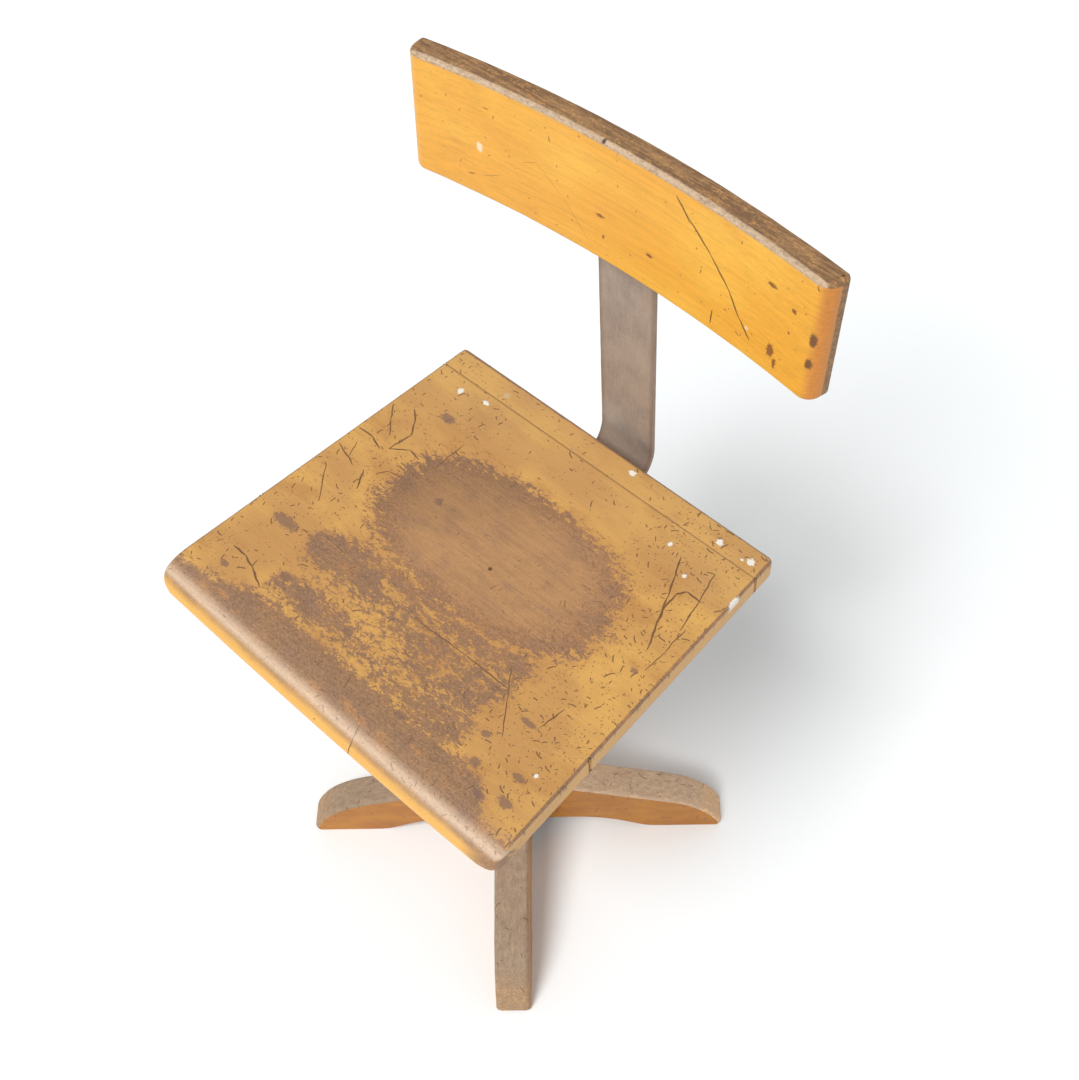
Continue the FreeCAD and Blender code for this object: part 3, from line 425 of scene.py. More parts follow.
def foot_outline():
    """The foot's top and underside, point for point, from the column out to the tip."""
    u0, z0 = FOOT_CURVE
    centre, radius = foot_arc()
    start = math.degrees(math.atan2(z0 - centre.y, u0 - centre.x))
    end = math.degrees(math.atan2(FOOT_TIP_Z - centre.y, FOOT_REACH - centre.x))
    top = run((HUB_FLAT, FOOT_ROOT_Z), (u0, z0), 4) + arc_points(centre, radius, start, end, 22)
    arch_run = ARCH_END - ARCH_START
    arch_radius = (arch_run ** 2 + ARCH_HEIGHT ** 2) / (2 * ARCH_HEIGHT)
    half = math.hypot(arch_run, ARCH_HEIGHT) / 2
    across = Vector((ARCH_HEIGHT, arch_run)).normalized()
    middle = Vector((ARCH_START + ARCH_END, ARCH_HEIGHT)) / 2
    pivot = middle - across * math.sqrt(arch_radius ** 2 - half ** 2)
    arch_from = math.degrees(math.atan2(ARCH_HEIGHT - pivot.y, ARCH_START - pivot.x))
    arch_to = math.degrees(math.atan2(-pivot.y, ARCH_END - pivot.x))
    sole_end = FOOT_REACH - FOOT_TIP_Z
    bottom = run((HUB_FLAT, ARCH_HEIGHT), (ARCH_START, ARCH_HEIGHT), 4)
    bottom += arc_points(pivot, arch_radius, arch_from, arch_to, 16)[:-1]
    bottom += run((ARCH_END, 0), (sole_end, 0), 4)
    bottom += arc_points((sole_end, FOOT_TIP_Z), FOOT_TIP_Z, -90, -8, 5)
    bottom = resample(bottom, 60)
    # the sole runs into the arch without a kink
    for _ in range(16):
        eased = list(bottom)
        for i, (u, z) in enumerate(bottom):
            if abs(u - ARCH_END) < 30:
                eased[i] = (u, (bottom[i - 1][1] + 2 * z + bottom[i + 1][1]) / 4)
        bottom = eased
    return resample(top, 60), bottom


def feet(material_for):
    """Four feet with worn rims; material_for gives each its own grain, and the rear right foot painted light.
    """
    top, bottom = foot_outline()
    names = ("foot_rear_right", "foot_rear_left", "foot_front_left", "foot_front_right")
    for k, name in enumerate(names):
        angle = math.radians(BASE_TURN + 90 * k)
        c, s = math.cos(angle), math.sin(angle)

        def place(v, u, z):
            worn = abs(wander((u, v, z), 0.9, 22, 10 + k)) + abs(wander((u, v, z), 0.35, 7, 20 + k))
            near = math.exp(-((FOOT_HALF_WIDTH - abs(v)) / 3) ** 2) * min(1, max(0, (u - 44) / 12))
            near *= 1 if z > 3 else 0
            v2 = v - math.copysign(worn * near * 0.5, v)
            z2 = max(0, z - worn * near * 0.5) if z > 8 else z
            return (u * c - v2 * s, u * s + v2 * c, z2)

        def rim(n):
            return math.hypot(5.5 * max(0, n.x), (3.2 if n.y > 0 else 1.4) * n.y)

        make_piece(name, *slab(top, bottom, lambda p, k: FOOT_HALF_WIDTH, rim, 10, place, 4),
                   "base", [name], "foot_wood", material_for(k))


def polar(radius, z, count=96):
    """A closed loop round the column's axis; radius may depend on the angle."""
    loop = []
    for k in range(count):
        a = 2 * math.pi * k / count
        r = radius(a) if callable(radius) else radius
        loop.append((r * math.cos(a), r * math.sin(a), z))
    return loop


def octagon(inset):
    """The column's square foot with chamfered, worn corners, as a polar radius."""
    def radius(a):
        total = 0
        for k in range(8):
            reach = (HUB_FLAT if k % 2 == 0 else HUB_CORNER) - inset
            c = math.cos(a - math.radians(BASE_TURN + 45 * k))
            if c > 0:
                total += (c / reach) ** 70
        return total ** (-1 / 70)
    return radius


def column(material):
    loops = [polar(octagon(2), ARCH_HEIGHT)]
    for a in (30, 60, 90):
        t = math.radians(a)
        loops.append(polar(octagon(2 * (1 - math.sin(t))), ARCH_HEIGHT + 2 * (1 - math.cos(t))))
    for z in (40, 60, 80, 95):
        loops.append(polar(octagon(0), z))
    for a in (90, 60, 30, 0):
        t = math.radians(a)
        loops.append(polar(octagon(2 * (1 - math.sin(t))), HUB_TOP - 2 * (1 - math.cos(t))))
    profile = [(33.6, 112), (33.3, 112.2)]
    profile += arc_points((31.4, 116.5), 4.3, -75, 75, 8)
    profile += [(32.9, 121.2), (32.8, 123), (32.35, 126.5), (31.9, 130), (31.4, 133.5), (31, 137)]
    for z in range(145, 293, 8):
        profile.append((31 - 2 * (z - 136) / 182, float(z)))
    profile += [(29.25, 292.5), (28.9, 293.7), (27.5, 293.9), (27.5, 318)]
    profile += [(26, 318), (20, 318), (20, 300), (20, 115), (8, 115)]
    for r, z in profile:
        loops.append(polar(r, z))
    make_piece("column", *stack(loops), "base", ["column"], "column_wood", material)


def spindle(material):
    """The screw with a real thread, a keyway, its shoulder and the journal."""
    pitch, outer, depth = 6, 14, 1.7
    thread_start, thread_end = 157, 374
    keyway_floor, keyway_edge = 11, 10.7
    near = [0, 5, keyway_edge, keyway_edge + 0.01, 13.6]
    angles = [5 * k for k in range(4, 69)]
    angles = sorted(angles + near + [360 - a for a in near[1:]])
    loops = []

    def ring(radius_at, z):
        loop = []
        for a in angles:
            r = radius_at(a, z)
            t = math.radians(a)
            loop.append((r * math.cos(t), r * math.sin(t), z))
        loops.append(loop)

    def thread(a, z):
        slot = min(a, 360 - a) < keyway_edge + 0.005
        fade = min(1, max(0, (z - thread_start - 1) / 3), max(0, (thread_end + 1 - z) / 3))
        turn = (z / pitch - a / 360) % 1
        groove = min(1, max(0, abs(turn - 0.5) * 4.4 - 0.75))
        r = outer - depth * groove * fade
        if slot and thread_start < z < thread_end:
            r = min(r, keyway_floor / math.cos(math.radians(a if a < 180 else 360 - a)))
        return r

    ring(lambda a, z: 12.6, 138)
    ring(lambda a, z: outer, 139.4)
    ring(lambda a, z: outer, thread_start)
    z = thread_start + 0.05
    while z < thread_end:
        ring(thread, z)
        z += 0.75
    for r, z in ((14, 374.3), (14, 379.9), (19.3, 380), (20, 380.7), (20, 389.3), (19.3, 390),
                 (11, 390), (11, 433.2), (10.2, 434), (4, 434), (4, 410)):
        ring(lambda a, z, r=r: r, z)
    make_piece("spindle", *stack(loops), "height_spindle", ["spindle"], "thread_steel", material)


# ---------------------------------------------------------------- node graphs

def linear(*screen):
    """A linear colour from 0-255 screen values."""
    values = []
    for c in screen:
        values.append(((c / 255 + 0.055) / 1.055) ** 2.4 if c > 10 else c / 255 / 12.92)
    return (*values, 1)


class Num:
    """A number in a node graph, so that formulas read as formulas."""

    def __init__(self, graph, socket):
        self.graph = graph
        self.socket = socket

    def abs(self):
        return self.graph.math("ABSOLUTE", self)

    def max(self, other):
        return self.graph.math("MAXIMUM", self, other)

    def min(self, other):
        return self.graph.math("MINIMUM", self, other)

    def clip(self):
        return self.max(0).min(1)


def give_operator(name, operation):
    """Lets Num take part in one kind of arithmetic, from either side."""
    setattr(Num, "__%s__" % name, lambda a, b: a.graph.math(operation, a, b))
    setattr(Num, "__r%s__" % name, lambda a, b: a.graph.math(operation, b, a))


for python_name, node_name in (("add", "ADD"), ("sub", "SUBTRACT"), ("mul", "MULTIPLY"),
                               ("truediv", "DIVIDE"), ("pow", "POWER")):
    give_operator(python_name, node_name)


class Graph:
    """A material, with short calls for the nodes that this chair needs."""

    def __init__(self, name, turn=0, unlean=False):
        self.material = bpy.data.materials.new(name)
        self.material.use_nodes = True
        self.tree = self.material.node_tree
        self.tree.nodes.clear()
        self.place(self.vec("SCALE", self.node("TexCoord").outputs["Object"], scale=1 / MM))
        if turn:
            turned = {"Vector": self.p, "Angle": math.radians(-turn)}
            self.place(self.node("VectorRotate", turned, rotation_type="Z_AXIS").outputs[0])
        if unlean:
            dy, dz = self.y - BAR_FRONT_Y, self.z - BAR_SET_Z
            y = dy * math.cos(LEAN) - dz * math.sin(LEAN) + BAR_FRONT_Y
            z = dy * math.sin(LEAN) + dz * math.cos(LEAN) + BAR_SET_Z
            self.place(self.combine(self.x, y, z - BOARD_CENTRE_Z - self.x * BOARD_TILT))

    def place(self, vector):
        """Takes a vector in millimetres as the place of the surface."""
        self.p = vector
        self.x, self.y, self.z = self.split(vector)

    def put(self, socket, value):
        if isinstance(value, Num):
            value = value.socket
        if isinstance(value, bpy.types.NodeSocket):
            self.tree.links.new(value, socket)
        else:
            socket.default_value = value

    def node(self, kind, inputs=(), **settings):
        """A new shader node; its inputs are in order, or a dictionary by name or number."""
        node = self.tree.nodes.new("ShaderNode" + kind)
        for key, value in settings.items():
            setattr(node, key, value)
        for key, value in inputs.items() if isinstance(inputs, dict) else enumerate(inputs):
            self.put(node.inputs[key], value)
        return node

    def math(self, operation, *values):
        return Num(self, self.node("Math", values, operation=operation).outputs[0])

    def vec(self, operation, a, b=None, scale=None):
        inputs = {0: a, 1: b, "Scale": scale}
        given = {key: value for key, value in inputs.items() if value is not None}
        node = self.node("VectorMath", given, operation=operation)
        return node.outputs["Value" if operation in ("LENGTH", "DOT_PRODUCT") else 0]

    def combine(self, *parts):
        return self.node("CombineXYZ", parts).outputs[0]

    def split(self, vector):
        return [Num(self, part) for part in self.node("SeparateXYZ", (vector,)).outputs]

    def step(self, value, low, high):
        """Goes smoothly from 0 at low to 1 at high; low may be above high."""
        start, end = (0, 1) if low < high else (1, 0)
        inputs = {"Value": value, "From Min": min(low, high), "From Max": max(low, high),
                  "To Min": start, "To Max": end}
        return Num(self, self.node("MapRange", inputs, interpolation_type="SMOOTHSTEP").outputs["Result"])

    def noise(self, size, detail=3, rough=0.5, seed=0):
        """Fractal noise about zero; size is the pattern's size along x, y, z in millimetres."""
        if not isinstance(size, tuple):
            size = (size, size, size)
        scaled = self.vec("MULTIPLY", self.p, tuple(1 / s for s in size))
        inputs = {"Vector": scaled, "W": seed, "Scale": 1, "Detail": detail, "Roughness": rough}
        return Num(self, self.node("TexNoise", inputs, noise_dimensions="4D").outputs[0]) - 0.5

    def mix(self, fac, a, b):
        """Goes from a to b; either can be a node's colour, or three screen values."""
        a, b = (linear(*c) if isinstance(c, tuple) and len(c) == 3 else c for c in (a, b))
        return self.node("Mix", {0: fac, 6: a, 7: b}, data_type="RGBA", clamp_factor=True).outputs[2]

    def shade(self, colour, factor):
        """Multiplies a colour by a number."""
        return self.vec("SCALE", colour[:3] if isinstance(colour, tuple) else colour, scale=factor)

    def spot(self, x, y, rx, ry, soft, wobble=None, vertical=None):
        """A soft-edged ellipse in the plane of x and y, or of x and another number."""
        dx = (self.x - x) / rx
        dy = ((vertical or self.y) - y) / ry
        d = self.math("SQRT", dx * dx + dy * dy)
        if wobble is not None:
            d = d + wobble
        return self.step(d, 1 + soft, 1 - soft)

    def spots(self, places, **how):
        """Several spots as one mask; a place is a centre and two half axes."""
        total = None
        for place in places:
            one = self.spot(*place, **how)
            total = one if total is None else total.max(one)
        return total

    def shaken(self, plane, size, amount, seed):
        """A plane's coordinates with some noise, so that lines in it look drawn by hand."""
        shake = self.combine(self.noise(size, seed=seed), self.noise(size, seed=seed + 1), 0)
        return self.vec("ADD", plane, self.vec("SCALE", shake, scale=amount))

    def scratches(self, lines, where):
        """Thin lines in a plane: each is (half width, points)."""
        total = None
        for width, points in lines:
            for a, b in zip(points, points[1:]):
                inputs = (where, (*a, 0), (*b, 0), width)
                mask = Num(self, self.node("Group", inputs, node_tree=segment_group()).outputs[0])
                total = mask if total is None else total.max(mask)
        return total

    def nicks(self, *inputs):
        """Many short strokes in a plane: its cell, density, length, half width and seed follow it."""
        return Num(self, self.node("Group", inputs, node_tree=nick_group()).outputs[0])

    def finish(self, colour, roughness, height, metallic=0, specular=0.5):
        """Puts the shader together; the height is in millimetres."""
        bump = self.node("Bump", {"Distance": MM, "Height": height})
        shader = self.node("BsdfPrincipled", {
            "Base Color": self.shade(colour, SEEN), "Roughness": roughness, "Metallic": metallic,
            "Specular IOR Level": specular, "Normal": bump.outputs[0]})
        self.node("OutputMaterial", {"Surface": shader.outputs[0]})
        return self.material


class GroupGraph(Graph):
    """The same short calls, inside a node group that turns vectors and numbers into one mask."""

    def __init__(self, name, vectors, numbers):
        self.tree = bpy.data.node_groups.new(name, "ShaderNodeTree")
        kinds = [(label, "Vector") for label in vectors] + [(label, "Float") for label in numbers]
        for label, kind in kinds:
            self.tree.interface.new_socket(label, in_out="INPUT", socket_type="NodeSocket" + kind)
        self.tree.interface.new_socket("Mask", in_out="OUTPUT", socket_type="NodeSocketFloat")
        self.ins = self.tree.nodes.new("NodeGroupInput").outputs
        self.outs = self.tree.nodes.new("NodeGroupOutput").inputs

    def done(self, mask):
        self.put(self.outs[0], mask)
        return self.tree


def segment_group():
    """1 on a line from A to B, falling to 0 at the half width."""
    if "segment" in bpy.data.node_groups:
        return bpy.data.node_groups["segment"]
    g = GroupGraph("segment", ("P", "A", "B"), ("Width",))
    pa = g.vec("SUBTRACT", g.ins[0], g.ins[1])
    ba = g.vec("SUBTRACT", g.ins[2], g.ins[1])
    t = (Num(g, g.vec("DOT_PRODUCT", pa, ba)) / Num(g, g.vec("DOT_PRODUCT", ba, ba))).clip()
    off = g.vec("SUBTRACT", pa, g.vec("SCALE", ba, scale=t))
    d = Num(g, g.vec("LENGTH", off)) / Num(g, g.ins[3])
    taper = 0.45 + 2.2 * t * (1 - t)
    return g.done(g.step(d / taper, 1.1, 0.3))


def nick_group():
    """Short, slightly bent strokes: one lies in each Voronoi cell that chance keeps."""
    if "nicks" in bpy.data.node_groups:
        return bpy.data.node_groups["nicks"]
    g = GroupGraph("nicks", ("P",), ("Cell", "Density", "Length", "Width", "Seed"))
    cell, density, length, width, seed = (Num(g, socket) for socket in list(g.ins)[1:6])
    cells = g.vec("SCALE", g.ins[0], scale=g.math("DIVIDE", 1, cell))
    where = g.vec("ADD", cells, g.combine(seed, seed * 1.7, 0))
    voronoi = g.node("TexVoronoi", {"Vector": where, "Scale": 1}, voronoi_dimensions="2D")
    away = g.vec("SUBTRACT", where, voronoi.outputs["Position"])
    dx, dy, _ = g.split(g.vec("SCALE", away, scale=cell))
    chance = [Num(g, part) for part in g.node("SeparateColor", (voronoi.outputs["Color"],)).outputs]
    angle = chance[0] * math.pi
    c, s = g.math("COSINE", angle), g.math("SINE", angle)
    along = (dx * c + dy * s).abs()
    across = (dy * c - dx * s + along * along * 0.05).abs()
    length = length * (0.35 + 0.65 * chance[1])
    width = width * (0.6 + 0.8 * chance[1])
    mask = g.step(along / length, 1, 0.6) * g.step(across / width, 1.2, 0.4)
    return g.done(mask * g.math("LESS_THAN", chance[2], density))


def grained(g, size_along, size_across, axis="x", seed=0):
    """Streaks along the wood's grain, about zero."""
    sizes = {"x": (size_along, size_across, size_across), "y": (size_across, size_along, size_across),
             "z": (size_across, size_across, size_along)}[axis]
    return g.noise(sizes, detail=5, rough=0.62, seed=seed)


# ---------------------------------------------------------------- materials

def seat_wood():
    """Lacquered seat boards with the sitter's worn oval, a worn front edge with paler wood and a painted
    highlight along its roll, scratches and paint; painted shade darkens the oval's rear left.
    """
    g = Graph("seat_wood")
    x, y, z = g.x, g.y, g.z
    flakes = g.noise((10, 5, 5), detail=6, rough=0.7, seed=1)
    blots = g.noise((34, 20, 20), detail=3, seed=2)
    specks = g.noise((3, 1.7, 1.7), detail=3, rough=0.65, seed=3)
    grit = g.noise(1.1, detail=2, rough=0.6, seed=10)
    tone = g.noise((90, 55, 55), detail=2, seed=4)
    streaks = grained(g, 46, 1.7, seed=5)
    fine = grained(g, 14, 0.6, seed=6)

    # where the lacquer is worn away: q is 1 on the rim of the sitter's rounded oval
    middle, half_axes, power = (3, 12), (122, 68), 2.5
    qx = ((x - middle[0]).abs() / half_axes[0]) ** power
    qy = ((y - middle[1]).abs() / half_axes[1]) ** power
    q = (qx + qy) ** (1 / power)
    oval = (1 - q) * 2.6
    drop = 22 * g.step(x, -95, -178) + 22 * g.step(x, 138, 170)
    band = ((-147 - drop - y) * 0.045).min(0.85)
    field = g.step(y, -44, -62) * g.step(x, -142, -112) * g.step(x, 132, 100)
    field = field * 0.80 - 0.92
    patches = [(0.55, -92, -82, 46, 13, 0.7), (0.22, 48, -93, 62, 19, 0.8),
               (0.34, 80, -134, 52, 16, 0.8), (0.32, -70, -128, 45, 12, 0.8),
               (0.5, 175, -145, 14, 30, 0.8), (0.45, -120, 18, 26, 34, 0.8),
               (0.5, -75, 84, 34, 9, 0.8), (0.42, 110, -8, 34, 62, 0.5)]
    for weight, *place, soft in patches:
        field = field + weight * g.spot(*place, soft=soft)
    halo = 0.38 * g.step(q, 1.34, 1.02)
    potential = oval.max(band).max(field + halo).max(-0.92)
    roll = g.step(y, -160, -168)
    wavy = z + flakes * 2 + blots * 3
    strip = roll * g.step(wavy, 474, 469) * g.step(x, 196, 165)
    side = seat_edge(g)
    rim = g.step(side, 2.8, 1.3) * g.step(z, 476.4, 478.6)
    rim = rim.max(g.step(y, 155.5, 157.8) * g.step(z, 474.5, 478) * 0.8)
    potential = potential.max(rim * 1.25 - 0.6)
    lower = g.step(z, 461.6, 459) * (1 - roll)
    potential = potential.max(lower * 1.1 - 0.6)
    rough_edge = flakes * 2.1 + blots * 0.7 + specks * 1.4 + grit * 0.5
    total = potential + rough_edge
    worn = g.step(total, -0.08, 0.08) * (1 - strip)
    dirt = g.step(total, -0.5, 0.04) * (1 - roll)
    border = g.step(total, -0.02, 0.06) * g.step(total, 0.42, 0.08) * (1 - roll)

    # colours
    orange = g.noise((60, 26, 26), detail=4, seed=7)
    lacquer = g.mix(g.step(tone + orange * 0.5, -0.14, 0.14), (198, 148, 86), (220, 170, 92))
    lacquer = g.mix(g.step(orange, 0.02, 0.18) * 0.75, lacquer, (188, 136, 78))
    lacquer = g.mix(g.step(y, 70, 110) * 0.35, lacquer, (198, 152, 96))
    lacquer = g.mix(g.step(side, 2.4, 0.8) * g.step(z, 477.5, 475.5) * 0.7, lacquer, (214, 156, 64))
    lacquer = g.mix(strip, lacquer, (234, 178, 92))
    lacquer = g.shade(lacquer, 1 + streaks * 0.30 + fine * 0.14 + grit * 0.12)
    lacquer = g.mix(dirt * 0.5 * (1 - strip), lacquer, (184, 130, 74))
    lacquer = g.mix(g.step(specks + grit * 0.6, 0.15, 0.27) * 0.5, lacquer, (150, 104, 60))
    inner = g.step(q, 1, 0.6)
    wood = g.mix(g.step(q, 1.35, 1.05), (156, 118, 84), (162, 120, 84))
    wood = g.mix(inner, wood, (182, 137, 92))
    wood = g.mix(g.step(blots, -0.04, 0.15) * 0.5 * (1 - inner * 0.4), wood, (136, 106, 86))
    olive = g.noise((30, 12, 12), detail=5, rough=0.6, seed=19)
    wood = g.mix(g.step(olive, 0.03, 0.15) * 0.75 * (1 - inner), wood, (180, 130, 84))
    wood = g.mix(g.step(olive, -0.06, -0.2) * 0.6 * inner, wood, (154, 120, 100))
    # painted shade: the worn wood darkens towards the oval's rear left
    wood = g.shade(wood, 1 - 0.2 * g.step(y - x, 0, 120) * g.step(q, 1.3, 0.9))
    mottle = (specks * 1.4 + grit * 0.9) * (1 - inner * 0.7)
    wood = g.shade(wood, 1 + streaks * 0.6 + fine * 0.5 + mottle)
    wood = g.mix(border * 0.35, wood, (134, 98, 76))
    # paler worn wood and a painted highlight, in a band along the nose's roll
    pale_wood_and_highlight = roll * g.step(z, 471.4, 474.2) * g.step(z, 478.4, 474.4)
    wood = g.mix(pale_wood_and_highlight * 0.65, wood, g.shade(linear(238, 208, 178), 1 + specks * 0.5 + streaks * 0.4))
    colour = g.mix(worn, lacquer, wood)

    # discrete marks
    flat = g.combine(x, y, 0)
    lines = [
        (1.19, [(124, 109), (132, 92), (141, 73), (149, 52), (162, 23)]),
        (0.84, [(156, 115), (163, 86), (170, 54)]), (1.26, [(146, 61), (145, 79), (150, 86), (165, 86)]),
        (0.98, [(146, 61), (152, 48)]), (0.91, [(-182, 68), (-170, 53), (-158, 40)]),
        (1.12, [(-163, 76), (-152, 66), (-143, 53), (-147, 29)]), (1.12, [(-185, 28), (-168, 29), (-154, 23)]),
        (0.98, [(-185, 4), (-158, -5)]), (1.12, [(-146, -2), (-135, -21)]),
        (0.98, [(-147, 29), (-132, 40), (-118, 38)]),
        (1.26, [(-168, -132), (-152, -133), (-140, -136), (-119, -146)]),
        (0.7, [(90, -58), (110, -84), (131, -111)]), (0.7, [(173, 57), (174, 30), (174, 7)]),
        (0.84, [(0, -80), (55, -77.6), (104, -77.2)]), (1.12, [(2.5, -152), (7, -164)]),
        (0.84, [(40, -178), (42, -188), (46, -199)]), (0.84, [(-117, -73), (-88, -75)]),
        (0.7, [(-100, 77), (-100, 40)]), (0.84, [(-135, 2), (-128, 12), (-112, 14)]),
        (0.7, [(-176, -20), (-150, -52)]), (0.7, [(-174, 15), (-168, 0)]), (0.77, [(150, -62), (147, -86)]),
    ]
    scratched = g.scratches(lines, g.shaken(flat, 9, 3.2, 8))
    reach = g.step(x, 62, 100) * 0.34 + g.step(x, -70, -120) * 0.16 + 0.10
    small = g.nicks(flat, 7.5, reach, 2.6, 0.5, 3.1).max(g.nicks(flat, 13, reach * 0.9, 5, 0.55, 9.4))
    tiny = g.nicks(flat, 3.6, reach * 0.8 + 0.05, 0.9, 0.45, 5.7) * 0.8
    across_nose = g.combine(x, z, 0)
    dints = g.nicks(across_nose, 9, 0.11, 1.3, 0.45, 13.7) * strip
    top = g.step(z, 470, 476)
    marks = scratched.max(small.max(tiny) * 0.9 * top).max(dints)
    colour = g.mix(marks * (0.9 - worn * 0.4), colour, (98, 66, 44))
    bruises = [(-132, 88, 8, 4.5), (-154, -86, 15, 5.5), (-71, 17, 4.5, 3.5), (167.5, 1, 3, 2.6),
               (137, -89, 8, 2.6), (131, -141, 5, 4), (-160, -150, 4, 3), (-30, -126, 5, 3),
               (166, -128, 6, 3), (172, -150, 7, 4), (152, -158, 6, 3), (120, -118, 4, 3),
               (58, -151, 5, 3.5), (-110, -124, 6, 4)]
    blotch = g.spots(bruises, soft=0.2, wobble=specks * 2.2)
    colour = g.mix(blotch * 0.72, colour, (126, 96, 82))
    colour = g.mix(g.spot(12, -4, 1.9, 1.8, soft=0.3) * 0.85, colour, (74, 54, 44))
    seam = g.step((y - REAR_SEAM_Y).abs(), 1.3, 0.3)
    colour = g.mix(seam * 0.35, colour, (104, 70, 46))
    drips = [(-147, 119, 3.2, 3.2), (-119, 124, 3.6, 2.2), (34, 150, 3.4, 3), (108, 114, 2, 2.4),
             (138, 97, 2, 2.2), (138, 142.5, 3.2, 3.4), (170, 144, 4, 3.2), (185, 104, 2.2, 7),
             (174, -118, 1.7, 1.7), (163, 141, 1.6, 1.2)]
    paint = g.spots(drips, soft=0.16, wobble=specks * 2) * top
    ring_stain = g.spot(-111, 142.5, 3.4, 3.2, soft=0.3)
    colour = g.mix(ring_stain * 0.45, colour, (205, 186, 160))
    colour = g.mix(paint, colour, (240, 234, 222))

    rough = 0.42 + worn * 0.16 - inner * worn * 0.06 - pale_wood_and_highlight * 0.12 - paint * 0.1
    rough = rough + fine * 0.3 + specks * 0.15
    height = (1 - worn) * 0.07 + streaks * 0.05 + fine * 0.06 + flakes * worn * 0.12
    height = height - marks * 0.16 - seam * 0.3 + paint * 0.25
    return g.finish(colour, rough.max(0.22).min(0.85), height)


def seat_edge(g):
    """Distance in from the seat's tapering side."""
    return (SEAT_FRONT_HALF + SEAT_TAPER * SEAT_FRONT_Y) - g.y * SEAT_TAPER - g.x.abs()


